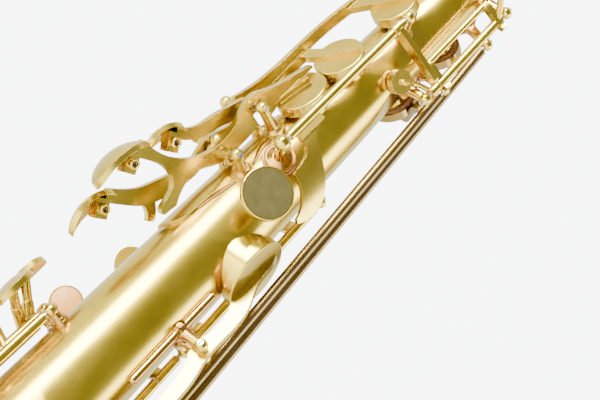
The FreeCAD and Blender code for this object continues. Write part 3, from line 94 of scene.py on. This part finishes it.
class Nodes:
    """Short names for building a material's node tree."""

    def __init__(self, name):
        self.material = bpy.data.materials.new(name)
        self.material.use_nodes = True
        self.tree = self.material.node_tree
        self.tree.nodes.clear()
        self.output = self.add("ShaderNodeOutputMaterial")
        self.shader = self.add("ShaderNodeBsdfPrincipled")
        self.link(self.shader.outputs["BSDF"], self.output.inputs["Surface"])
        self.place = self.add("ShaderNodeTexCoord").outputs["Object"]

    def add(self, kind, **settings):
        node = self.tree.nodes.new(kind)
        for key, value in settings.items():
            setattr(node, key, value)
        return node

    def link(self, source, target):
        self.tree.links.new(source, target)

    def feed(self, socket, value):
        """Set a socket to a constant or link it to another socket."""
        if isinstance(value, bpy.types.NodeSocket):
            self.link(value, socket)
        else:
            socket.default_value = value

    def math(self, operation, a, b=0.0):
        node = self.add("ShaderNodeMath", operation=operation)
        self.feed(node.inputs[0], a)
        self.feed(node.inputs[1], b)
        return node.outputs[0]

    def noise(self, scale, detail=3.0, roughness=0.55, stretch=None):
        """Noise over the object's own metres; stretch scales each axis."""
        source = self.place
        if stretch:
            mapping = self.add("ShaderNodeMapping")
            mapping.inputs["Scale"].default_value = stretch
            self.link(source, mapping.inputs["Vector"])
            source = mapping.outputs["Vector"]
        node = self.add("ShaderNodeTexNoise")
        node.inputs["Scale"].default_value = scale
        node.inputs["Detail"].default_value = detail
        node.inputs["Roughness"].default_value = roughness
        self.link(source, node.inputs["Vector"])
        return node.outputs["Fac"]

    def ramp(self, value, low, high, to_low=0.0, to_high=1.0):
        node = self.add("ShaderNodeMapRange", clamp=True)
        self.feed(node.inputs["Value"], value)
        for key, number in (("From Min", low), ("From Max", high), ("To Min", to_low), ("To Max", to_high)):
            node.inputs[key].default_value = number
        return node.outputs["Result"]

    def mix(self, share, a, b):
        """Colour mix of two RGB triples or sockets."""
        node = self.add("ShaderNodeMix", data_type="RGBA", clamp_factor=True)
        self.feed(node.inputs[0], share)
        for socket, value in ((node.inputs[6], a), (node.inputs[7], b)):
            self.feed(socket, value if isinstance(value, bpy.types.NodeSocket) else (*value, 1.0))
        return node.outputs[2]

    def bump(self, height, distance, strength):
        node = self.add("ShaderNodeBump")
        node.inputs["Strength"].default_value = strength
        node.inputs["Distance"].default_value = distance
        self.link(height, node.inputs["Height"])
        return node.outputs["Normal"]

    def soft_edges(self, radius):
        """Normals rounded over edges, as polished metal has."""
        node = self.add("ShaderNodeBevel", samples=8)
        node.inputs["Radius"].default_value = radius
        return node.outputs["Normal"]

    def height_over_body(self):
        """Distance from the body's surface, in metres, as a socket."""
        split = self.add("ShaderNodeSeparateXYZ")
        self.link(self.place, split.inputs[0])
        x, y, z = split.outputs
        square = self.math("ADD", self.math("MULTIPLY", x, x), self.math("MULTIPLY", y, y))
        cone = self.math("MULTIPLY_ADD", z, -CONE_SLOPE)
        cone.node.inputs[2].default_value = (APEX_Z * CONE_SLOPE + WALL) * MM
        return self.math("SUBTRACT", self.math("SQRT", square), cone)

    def near_points(self, points, reach):
        """1 at any of these places, falling to 0 at reach, as a socket."""
        total = None
        for point in points:
            node = self.add("ShaderNodeVectorMath", operation="DISTANCE")
            self.link(self.place, node.inputs[0])
            node.inputs[1].default_value = point
            share = self.ramp(node.outputs["Value"], 0.35 * reach, reach, 1.0, 0.0)
            total = share if total is None else self.math("MAXIMUM", total, share)
        return total


# ------------------------------- materials -------------------------------

GOLD = (0.66, 0.47, 0.04)
GOLD_PALE = (0.68, 0.49, 0.06)
GOLD_DEEP = (0.48, 0.34, 0.025)
GOLD_AGED = (0.20, 0.13, 0.02)
COPPER = (0.46, 0.19, 0.06)
ROD_BRONZE = (0.26, 0.17, 0.06)
TARNISH = (0.16, 0.10, 0.035)
# Radius of the softened edges on brass and on the thumb rest, in metres.
KEY_EDGE = 0.00008
REST_EDGE = 0.0003
# Where the thumb rest's rim, painted brighter as a highlight, starts and is full, from its middle.
REST_RIM_HIGHLIGHT = (6.2 * MM, 6.6 * MM)
# Height over the body where a post's copper stain starts to fade and has gone.
STAIN_FADE = (3.6 * MM, 5.2 * MM)
# Height over the body where the stain of the palm plate's stems starts and is full, above the 0.8 mm plate.
STEM_STAIN_RISE = (1.0 * MM, 1.6 * MM)


def brass(name, light, deep, roughness, stain=None, stain_amount=0.0, spots=0.3):
    """Unlacquered brass: drifting tone, satin lines along the body, small dark spots and copper stains."""
    n = Nodes(name)
    drift = n.ramp(n.noise(70.0, 5.0), 0.32, 0.68)
    colour = n.mix(drift, deep, light)
    cloud = n.ramp(n.noise(260.0, 6.0, 0.7), 0.52, 0.78)
    colour = n.mix(n.math("MULTIPLY", cloud, spots), colour, TARNISH)
    if stain is not None:
        ragged = n.ramp(n.noise(420.0, 4.0, 0.6), 0.25, 0.75, 0.45, 1.0)
        share = n.math("MULTIPLY", n.math("MULTIPLY", stain(n), ragged), stain_amount)
        colour = n.mix(share, colour, COPPER)
    n.link(colour, n.shader.inputs["Base Color"])
    n.shader.inputs["Metallic"].default_value = 1.0
    lines = n.noise(900.0, 3.0, 0.6, (1.0, 1.0, 0.3))
    rough = n.math("ADD", n.ramp(lines, 0.2, 0.8, roughness - 0.01, roughness + 0.015),
                   n.math("MULTIPLY", cloud, 0.04))
    n.link(rough, n.shader.inputs["Roughness"])
    n.link(n.soft_edges(KEY_EDGE), n.shader.inputs["Normal"])
    return n.material


def thumb_satin(name):
    """Thumb rest: grey-olive satin face inside a rim painted pale and bright as a highlight."""
    n = Nodes(name)
    split = n.add("ShaderNodeSeparateXYZ")
    n.link(n.place, split.inputs[0])
    x, _, z = split.outputs
    rise = n.math("SUBTRACT", z, THUMB_REST_Z * MM)
    distance = n.math("SQRT", n.math("ADD", n.math("MULTIPLY", x, x), n.math("MULTIPLY", rise, rise)))
    # Painted highlight: the rim band takes the pale brass colour, brighter than the face inside it; it is
    # also smoother.
    rim_highlight = n.ramp(distance, *REST_RIM_HIGHLIGHT)
    # Face colour: a drifting darker grey-olive tone.
    face_tone = n.mix(n.ramp(n.noise(330.0, 5.0, 0.7), 0.3, 0.7), (0.34, 0.28, 0.09), (0.46, 0.38, 0.13))
    n.link(n.mix(rim_highlight, face_tone, GOLD_PALE), n.shader.inputs["Base Color"])
    n.shader.inputs["Metallic"].default_value = 1.0
    n.link(n.ramp(rim_highlight, 0.0, 1.0, 0.30, 0.16), n.shader.inputs["Roughness"])
    n.link(n.soft_edges(REST_EDGE), n.shader.inputs["Normal"])
    return n.material


def steel(name):
    n = Nodes(name)
    tone = n.mix(n.ramp(n.noise(300.0), 0.3, 0.7), (0.42, 0.38, 0.33), (0.62, 0.58, 0.52))
    n.link(tone, n.shader.inputs["Base Color"])
    n.shader.inputs["Metallic"].default_value = 1.0
    n.link(n.ramp(n.noise(900.0), 0.3, 0.7, 0.24, 0.40), n.shader.inputs["Roughness"])
    return n.material


def matt(name, light, dark, scale, roughness, bump_depth, sheen=0.0):
    n = Nodes(name)
    grain = n.noise(scale, 5.0, 0.65)
    n.link(n.mix(n.ramp(grain, 0.3, 0.7), dark, light), n.shader.inputs["Base Color"])
    n.link(n.ramp(grain, 0.2, 0.8, roughness - 0.08, roughness + 0.08), n.shader.inputs["Roughness"])
    n.shader.inputs["Sheen Weight"].default_value = sheen
    n.link(n.bump(grain, bump_depth, 0.6), n.shader.inputs["Normal"])
    return n.material


def cane(name):
    """Reed cane: long fibres along the reed."""
    n = Nodes(name)
    fibre = n.noise(1600.0, 4.0, 0.6, (1.0, 1.0, 0.03))
    n.link(n.mix(n.ramp(fibre, 0.3, 0.7), (0.62, 0.46, 0.20), (0.88, 0.76, 0.47)),
           n.shader.inputs["Base Color"])
    n.link(n.ramp(fibre, 0.2, 0.8, 0.38, 0.56), n.shader.inputs["Roughness"])
    n.link(n.bump(fibre, 0.00002, 0.5), n.shader.inputs["Normal"])
    return n.material


def pearl(name):
    """Mother-of-pearl with cloudy drift."""
    n = Nodes(name)
    cloud = n.noise(420.0, 4.0, 0.6)
    colour = n.mix(n.ramp(cloud, 0.3, 0.7), (0.72, 0.76, 0.74), (0.92, 0.88, 0.84))
    n.link(colour, n.shader.inputs["Base Color"])
    n.link(n.ramp(cloud, 0.3, 0.7, 0.14, 0.24), n.shader.inputs["Roughness"])
    n.shader.inputs["Coat Weight"].default_value = 0.6
    return n.material


def foot_stain(n):
    """Copper tint from a post's foot up its stem, clear of the polished ball."""
    return n.ramp(n.height_over_body(), *STAIN_FADE, 1.0, 0.0)


def mount_stain(n):
    """Copper tint up the stems that stand on the plate, with the plate itself left gold."""
    height = n.height_over_body()
    above = n.ramp(height, *STEM_STAIN_RISE)
    return n.math("MULTIPLY", above, n.ramp(height, *STAIN_FADE, 1.0, 0.0))


def islands(node):
    """Box of each separate solid in a CAD node, as (lowest, highest) corners."""
    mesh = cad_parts[node].data
    parent = list(range(len(mesh.vertices)))

    def root(i):
        while parent[i] != i:
            parent[i] = parent[parent[i]]
            i = parent[i]
        return i

    seen = {}
    for i, vertex in enumerate(mesh.vertices):
        spot = tuple(round(c, 6) for c in vertex.co)
        parent[root(i)] = root(seen.setdefault(spot, i))
    for edge in mesh.edges:
        a, b = edge.vertices
        parent[root(a)] = root(b)
    groups = {}
    for i, vertex in enumerate(mesh.vertices):
        groups.setdefault(root(i), []).append(vertex.co)
    boxes = []
    for points in groups.values():
        low = Vector([min(p[k] for p in points) for k in range(3)])
        high = Vector([max(p[k] for p in points) for k in range(3)])
        boxes.append((low, high))
    return sorted(boxes, key=lambda b: b[0].z)


def post_feet():
    """Places on the body where posts are soldered."""
    feet = []
    for node in ("octave_posts", "side_key_posts", "stack_posts", "low_key_posts"):
        for low, high in islands(node):
            middle = (low + high) / 2
            theta = degrees(atan2(middle.y, middle.x))
            z = middle.z / MM
            feet.append(polar(theta, outer_radius(z), z))
    return feet


def make_materials():
    feet = post_feet()
    body = brass("body_brass", GOLD, GOLD_DEEP, 0.24, lambda n: n.near_points(feet, 7.5 * MM), 0.35,
                 spots=0.06)
    keys = brass("key_brass", GOLD_PALE, GOLD_DEEP, 0.24, spots=0.03)
    posts = brass("post_brass", GOLD_PALE, GOLD, 0.14, foot_stain, 0.85, spots=0.05)
    mount = brass("mount_brass", GOLD, GOLD_DEEP, 0.24, mount_stain, 0.6, spots=0.06)
    long_rods = brass("long_rod_brass", ROD_BRONZE, GOLD_AGED, 0.30, spots=0.15)
    return {
        "body": body, "keys": keys, "posts": posts, "mount": mount, "long_rods": long_rods,
        "rest": thumb_satin("thumb_rest_brass"),
        "steel": steel("rod_steel"),
        "cork": matt("cork", (0.55, 0.36, 0.18), (0.30, 0.17, 0.08), 1500.0, 0.85, 0.0001),
        "felt": matt("felt", (0.20, 0.03, 0.03), (0.09, 0.01, 0.01), 2500.0, 0.95, 0.0001, 0.4),
        "leather": matt("pad_leather", (0.34, 0.16, 0.07), (0.20, 0.08, 0.03), 1200.0, 0.6, 0.00005),
        "rubber": matt("hard_rubber", (0.025, 0.024, 0.022), (0.012, 0.011, 0.010), 600.0, 0.28, 0.00001),
        "amber_cork": matt("amber_cork", (0.62, 0.27, 0.05), (0.40, 0.15, 0.02), 1500.0, 0.55, 0.00005),
        "cane": cane("cane"),
        "pearl": pearl("pearl"),
        # Solder: dark copper, the real stain of the solder and, along the palm plate's edge, painted shadow
        # of the gap under the plate.
        "solder": brass("solder", (0.34, 0.17, 0.09), (0.16, 0.08, 0.04), 0.38, spots=0.3),
    }


BODY_NODES = ["body_tube", "bell", "bell_ring", "neck_receiver", "neck", "octave_vent_pips"]
POST_NODES = ["octave_posts", "side_key_posts", "stack_posts", "low_key_posts", "side_rail", "strap_ring",
              "neck_screw", "ligature", "ligature_screw_low", "ligature_screw_high"]
OTHER_NODES = {"hinge_rods": "steel", "guard_felts": "felt", "neck_cork": "cork", "mouthpiece": "rubber",
               "reed": "cane", "palm_key_mount": "mount", "thumb_rest": "rest", "high_e_key": "long_rods",
               "high_fs_key": "long_rods"}


def paint_frame(materials):
    for name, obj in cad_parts.items():
        if name in BODY_NODES:
            kind = "body"
        elif name in POST_NODES:
            kind = "posts"
        elif name in OTHER_NODES:
            kind = OTHER_NODES[name]
        elif name.endswith("_pads"):
            kind = "leather"
        else:
            kind = "keys"
        obj.data.materials.clear()
        obj.data.materials.append(materials[kind])


# -------------------------------- pieces --------------------------------

def piece(name, mesh, material, body):
    """Put a smooth-shaded mesh in the scene, on the body that carries it."""
    obj = bpy.data.objects.new(name, mesh)
    bpy.context.collection.objects.link(obj)
    mesh.materials.append(material)
    for polygon in mesh.polygons:
        polygon.use_smooth = True
    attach(obj, body)
    return obj


def lathe(name, profile, centre, axis, material, body):
    """Turned piece: (radius, height) points in mm round an axis through centre."""
    mesh = bpy.data.meshes.new(name)
    bm = bmesh.new()
    side = axis.orthogonal().normalized()
    other = axis.cross(side).normalized()
    spokes = []
    for i in range(LATHE_TURNS):
        turn = 2 * pi * i / LATHE_TURNS
        spokes.append(side * cos(turn) + other * sin(turn))
    rings = []
    for r, h in profile:
        middle = centre + axis * h * MM
        if r < 1e-6:
            rings.append([bm.verts.new(middle)])
        else:
            rings.append([bm.verts.new(middle + spoke * r * MM) for spoke in spokes])
    for a, b in zip(rings, rings[1:]):
        for i in range(LATHE_TURNS):
            k = (i + 1) % LATHE_TURNS
            if len(a) == 1:
                bm.faces.new((a[0], b[i], b[k]))
            elif len(b) == 1:
                bm.faces.new((a[i], b[0], a[k]))
            else:
                bm.faces.new((a[i], b[i], b[k], a[k]))
    bmesh.ops.recalc_face_normals(bm, faces=bm.faces)
    bm.to_mesh(mesh)
    bm.free()
    return piece(name, mesh, material, body)


def pad_profile(r, depth):
    """Flat leather pad with a rolled lower edge."""
    return [(0, 0), (r - 0.7, 0), (r - 0.2, 0.2), (r, 0.7), (r, depth - 0.1), (r - 0.1, depth), (0, depth)]


def make_closed_pads(materials):
    """Leather pad in each key that is drawn closed."""
    for key, (theta, z, diameter) in CLOSED_HOLES.items():
        r = diameter / 2 + CUP_MARGIN - CUP_WALL - PAD_SIDE_GAP
        floor = outer_radius(z) + CHIMNEY_RISE + PAD_GAP
        top = outer_radius(z) + CUP_TOP_RISE - CUP_WALL - PAD_BACK_GAP
        depth = top - floor
        profile = pad_profile(r, depth)
        lathe(key + "_pad", profile, polar(theta, floor, z), out(theta), materials["leather"], key)


def surface_point(theta, t, z, rise=0.0):
    """Point on the body: t mm round from the line at angle theta, rise mm above the surface."""
    r = outer_radius(z) + rise
    around = Vector((-sin(radians(theta)), cos(radians(theta)), 0))
    return (out(theta) * sqrt(r * r - t * t) + around * t + UP * z) * MM


def wire(name, points, radius, material, body, closed=False):
    """Round wire or bead along a smooth path of points in metres; radius in mm."""
    curve = bpy.data.curves.new(name, "CURVE")
    curve.dimensions = "3D"
    curve.bevel_depth = radius * MM
    curve.bevel_resolution = 3
    curve.resolution_u = 8
    curve.use_fill_caps = True
    spline = curve.splines.new("NURBS")
    spline.points.add(len(points) - 1)
    for target, point in zip(spline.points, points):
        target.co = (*point, 1.0)
    spline.order_u = 4
    spline.use_endpoint_u = not closed
    spline.use_cyclic_u = closed
    curve.materials.append(material)
    obj = bpy.data.objects.new(name, curve)
    bpy.context.collection.objects.link(obj)
    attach(obj, body)
    return obj


def solder_ring(name, theta, z, r, material):
    """Bead of solder round a post's foot, following the body's curve."""
    count = 24
    path = []
    for i in range(count):
        turn = 2 * pi * i / count
        path.append(surface_point(theta, r * cos(turn), z + r * sin(turn), 0.05))
    wire(name, path, POST_WIRE_R, material, "body", closed=True)


# Edge of the palm-key plate on the thumb side: (round from the line at PALM_ANGLE, z).
PALM_ANGLE = 25
PLATE_EDGE = [
    (-1.0, 423.0), (2.6, 427.0), (3.4, 436.0), (5.4, 443.0),
    (5.0, 449.5), (2.2, 456.0), (2.8, 463.0), (0.5, 467.0),
]
# Octave post's foot: (angle, z, radius of its solder).
OCTAVE_POST = (72, 455.0, 4.3)
# Posts with a solder ring: CAD node -> radius of the ring.
SOLDERED_POSTS = {"side_key_posts": 3.1, "stack_posts": 3.1, "low_key_posts": 2.35}
PLATE_WIRE_R = 0.24
POST_WIRE_R = 0.32


def make_solder(materials):
    """Dark copper solder along the palm plate's edge, where its dark colour also paints the shadow of the
    gap under the plate, and round the feet of the posts.
    """
    edge = [surface_point(PALM_ANGLE, t + 0.15, z, 0.15) for t, z in PLATE_EDGE]
    # Dark bead along the plate's edge: copper solder stain and painted shadow of the gap under the plate.
    wire("palm_plate_solder_and_shadow", edge, PLATE_WIRE_R, materials["solder"], "body")
    number = 0
    for node, r in SOLDERED_POSTS.items():
        for low, high in islands(node):
            middle = (low + high) / 2
            theta = degrees(atan2(middle.y, middle.x))
            number += 1
            solder_ring("post_solder_%02d" % number, theta, middle.z / MM, r, materials["solder"])
    theta, z, r = OCTAVE_POST
    solder_ring("octave_post_solder", theta, z, r, materials["solder"])


# Rods of the two finger stacks: angle, height over the body, and the z of each rod's two ends.
STACK_ANGLE = -152
STACK_HEIGHT = 5.5
UPPER_SPAN = (361.0, 462.0)
LOWER_SPAN = (235.0, 344.0)
# Finger pearls: key -> (offset round the body, z, top of its arm from the bore, span of its rod).
PEARLS = {
    "b_key": (5.5, 442.0, 20.6, UPPER_SPAN), "bis_key": (6.5, 430.0, 23.4, UPPER_SPAN),
    "a_key": (11.5, 417.0, 20.8, UPPER_SPAN), "g_key": (16.3, 397.0, 20.6, UPPER_SPAN),
    "f_key": (6.0, 304.0, 23.4, LOWER_SPAN), "e_key": (6.0, 277.0, 24.2, LOWER_SPAN),
    "d_key": (6.0, 249.0, 25.0, LOWER_SPAN),
}


def lifted(point, span):
    """The point after its key has been raised about the stack rod."""
    low, high = (polar(STACK_ANGLE, outer_radius(z) + STACK_HEIGHT, z) for z in span)
    turn = Matrix.Rotation(radians(STACK_LIFT), 4, high - low)
    return turn @ (point - low) + low, turn


def make_pearls(materials):
    """Mother-of-pearl button in each finger dish."""
    for key, (t, z, arm_top, span) in PEARLS.items():
        facing = out(-90)
        around = Vector((1, 0, 0))
        floor = (facing * (arm_top - DISH_WELL_DEPTH) + around * t + UP * z) * MM
        place, turn = lifted(floor, span)
        axis = (turn.to_3x3() @ facing).normalized()
        profile = [
            (0, 0), (PEARL_R, 0), (PEARL_R + 0.05, 1.1), (PEARL_R - 0.3, 1.75),
            (2.8, 1.95), (1.4, 1.8), (0, 1.75),
        ]
        lathe(key + "_pearl", profile, place, axis, materials["pearl"], key)


# Cups that are drawn open and have no pad node: key -> (angle, z, diameter, rod span).
OPEN_CUPS = {
    "bis_key": (-90, 414.0, 7.0, UPPER_SPAN),
    "fs_key": (-90, 328.0, 18.0, LOWER_SPAN),
}
# Octave vents: key -> (angle, z).
VENTS = {"lower_vent_key": (112, 494.5), "upper_vent_key": (100, 566.0)}


# Adjuster under each palm touch: key -> (distance from the bore, z, offset round the body of its face).
PALM_ADJUSTERS = {
    "palm_d_key": (32.2, 424.2, 1.5), "palm_eb_key": (25.6, 413.4, -5.3),
    "palm_f_key": (26.4, 438.0, -2.6),
}


def make_palm_adjusters(materials):
    """Polished bushing with a dark recessed screw, on the block under each palm touch."""
    around = Vector((-sin(radians(PALM_ANGLE)), cos(radians(PALM_ANGLE)), 0))
    for key, (distance, z, offset) in PALM_ADJUSTERS.items():
        place = (out(PALM_ANGLE) * distance + around * offset + UP * z) * MM
        bushing = [(0.80, 0), (0.80, 1.5), (0.92, 1.68), (1.12, 1.72), (1.34, 1.6), (1.42, 1.4), (1.42, 0)]
        lathe(key + "_bushing", bushing, place, around, materials["posts"], key)
        screw = [(0, 0.7), (0.35, 0.7), (0.45, 0.82), (0.74, 0.82), (0.79, 0.7), (0.79, 0)]
        lathe(key + "_adjuster", screw, place, around, materials["rubber"], key)


def make_dish_facing(materials):
    """Cork facing on the underside of the G pearl's dish."""
    t, z, arm_top, span = PEARLS["g_key"]
    facing = out(-90)
    inward = facing * -1
    around = Vector((1, 0, 0))
    place, turn = lifted((facing * (arm_top - ARM_THICKNESS) + around * t + UP * z) * MM, span)
    profile = [(0, 0), (3.9, 0), (4.05, 0.12), (4.05, 0.42), (3.85, 0.55), (0, 0.55)]
    axis = (turn.to_3x3() @ inward).normalized()
    lathe("g_key_facing", profile, place, axis, materials["amber_cork"], "g_key")


def make_open_pads(materials):
    """Leather pads of the raised bis and F sharp cups."""
    for key, (theta, z, diameter, span) in OPEN_CUPS.items():
        r = diameter / 2 + CUP_MARGIN - CUP_WALL - PAD_SIDE_GAP
        floor = outer_radius(z) + CHIMNEY_RISE + PAD_GAP
        depth = CUP_TOP_RISE - CUP_WALL - PAD_BACK_GAP - CHIMNEY_RISE - PAD_GAP
        place, turn = lifted(polar(theta, floor, z), span)
        axis = (turn.to_3x3() @ out(theta)).normalized()
        profile = pad_profile(r, depth)
        lathe(key + "_pad", profile, place, axis, materials["leather"], key)


def make_vent_corks(materials):
    """Cork disc inside each octave cup."""
    for key, (theta, z) in VENTS.items():
        floor = outer_radius(z) + VENT_RISE + PAD_GAP
        profile = [(0, 0), (2.4, 0), (2.7, 0.2), (2.8, 0.5), (2.8, 1.6), (2.7, 1.7), (0, 1.7)]
        lathe(key + "_cork", profile, polar(theta, floor, z), out(theta), materials["cork"], key)


finishes = make_materials()
paint_frame(finishes)
make_closed_pads(finishes)
make_solder(finishes)
make_pearls(finishes)
make_open_pads(finishes)
make_vent_corks(finishes)
make_palm_adjusters(finishes)
make_dish_facing(finishes)


# --------------------------- floor, light, camera ---------------------------

FLOOR_HALF = 3.0
# Strength of the surroundings: as the camera sees them, and as they light the object from each side.
BACKDROP_STRENGTH = 8.0
LIT_BEHIND = 2.3
LIT_THUMB_SIDE = 0.42
# Where the light fades from one to the other: the Y of the direction it comes from.
FADE_START = 0.02
FADE_END = 0.42


def make_floor():
    """Plain pale floor."""
    mesh = bpy.data.meshes.new("floor")
    corners = [(x * FLOOR_HALF, y * FLOOR_HALF, 0) for x, y in ((-1, -1), (1, -1), (1, 1), (-1, 1))]
    mesh.from_pydata(corners, [], [(0, 1, 2, 3)])
    floor = bpy.data.objects.new("floor", mesh)
    bpy.context.collection.objects.link(floor)
    mesh.materials.append(matt("floor_paper", (0.86, 0.87, 0.88), (0.83, 0.84, 0.86), 40.0, 0.8, 0.00005))


def area_light(name, place, aim, size, power, colour=(1, 1, 1)):
    """Rectangular soft lamp at place, turned to face aim."""
    data = bpy.data.lights.new(name, "AREA")
    data.shape = "RECTANGLE"
    data.size, data.size_y = size
    data.energy = power
    data.color = colour
    lamp = bpy.data.objects.new(name, data)
    bpy.context.collection.objects.link(lamp)
    lamp.location = place
    lamp.rotation_euler = (Vector(aim) - Vector(place)).to_track_quat("-Z", "Y").to_euler()


def make_world():
    """Pale surroundings: bright as the camera sees them, dimmer as light, and least on the thumb side."""
    world = bpy.data.worlds.new("studio")
    bpy.context.scene.world = world
    world.use_nodes = True
    tree = world.node_tree
    tree.nodes.clear()
    output = tree.nodes.new("ShaderNodeOutputWorld")
    shown = tree.nodes.new("ShaderNodeBackground")
    shown.inputs["Color"].default_value = (0.93, 0.95, 0.97, 1)
    shown.inputs["Strength"].default_value = BACKDROP_STRENGTH
    lit = tree.nodes.new("ShaderNodeBackground")
    lit.inputs["Color"].default_value = (0.95, 0.97, 1.0, 1)
    place = tree.nodes.new("ShaderNodeTexCoord")
    split = tree.nodes.new("ShaderNodeSeparateXYZ")
    tree.links.new(place.outputs["Generated"], split.inputs[0])
    fade = tree.nodes.new("ShaderNodeMapRange")
    fade.interpolation_type = "SMOOTHSTEP"
    fade.inputs["From Min"].default_value = FADE_START
    fade.inputs["From Max"].default_value = FADE_END
    fade.inputs["To Min"].default_value = LIT_BEHIND
    fade.inputs["To Max"].default_value = LIT_THUMB_SIDE
    tree.links.new(split.outputs["Y"], fade.inputs["Value"])
    tree.links.new(fade.outputs["Result"], lit.inputs["Strength"])
    path = tree.nodes.new("ShaderNodeLightPath")
    mix = tree.nodes.new("ShaderNodeMixShader")
    tree.links.new(path.outputs["Is Camera Ray"], mix.inputs[0])
    tree.links.new(lit.outputs[0], mix.inputs[1])
    tree.links.new(shown.outputs[0], mix.inputs[2])
    tree.links.new(mix.outputs[0], output.inputs["Surface"])


# Camera: place in metres, the way it looks, and the way its top points.
CAMERA_PLACE = Vector((0.0315, 0.3669, 0.3117))
CAMERA_FORWARD = Vector((-0.1024, -0.9263, 0.3627))
CAMERA_UP = Vector((0.7198, 0.1827, 0.6697))


def make_camera():
    data = bpy.data.cameras.new("camera")
    data.lens = 90.0
    data.sensor_width = 36.0
    data.clip_start = 0.01
    camera = bpy.data.objects.new("camera", data)
    bpy.context.collection.objects.link(camera)
    back = -CAMERA_FORWARD.normalized()
    right = CAMERA_UP.cross(back).normalized()
    top = back.cross(right).normalized()
    turn = Matrix((right, top, back)).transposed()
    camera.matrix_world = Matrix.Translation(CAMERA_PLACE) @ turn.to_4x4()
    bpy.context.scene.camera = camera


make_floor()
make_world()
area_light("key_light", (1.08, 0.90, 0.99), (0, 0, 0.45), (0.56, 1.2), 170.0)
area_light("side_light", (-1.5, 0.35, 0.8), (0, 0, 0.4), (0.7, 1.2), 32.0, (0.96, 0.98, 1.0))
make_camera()
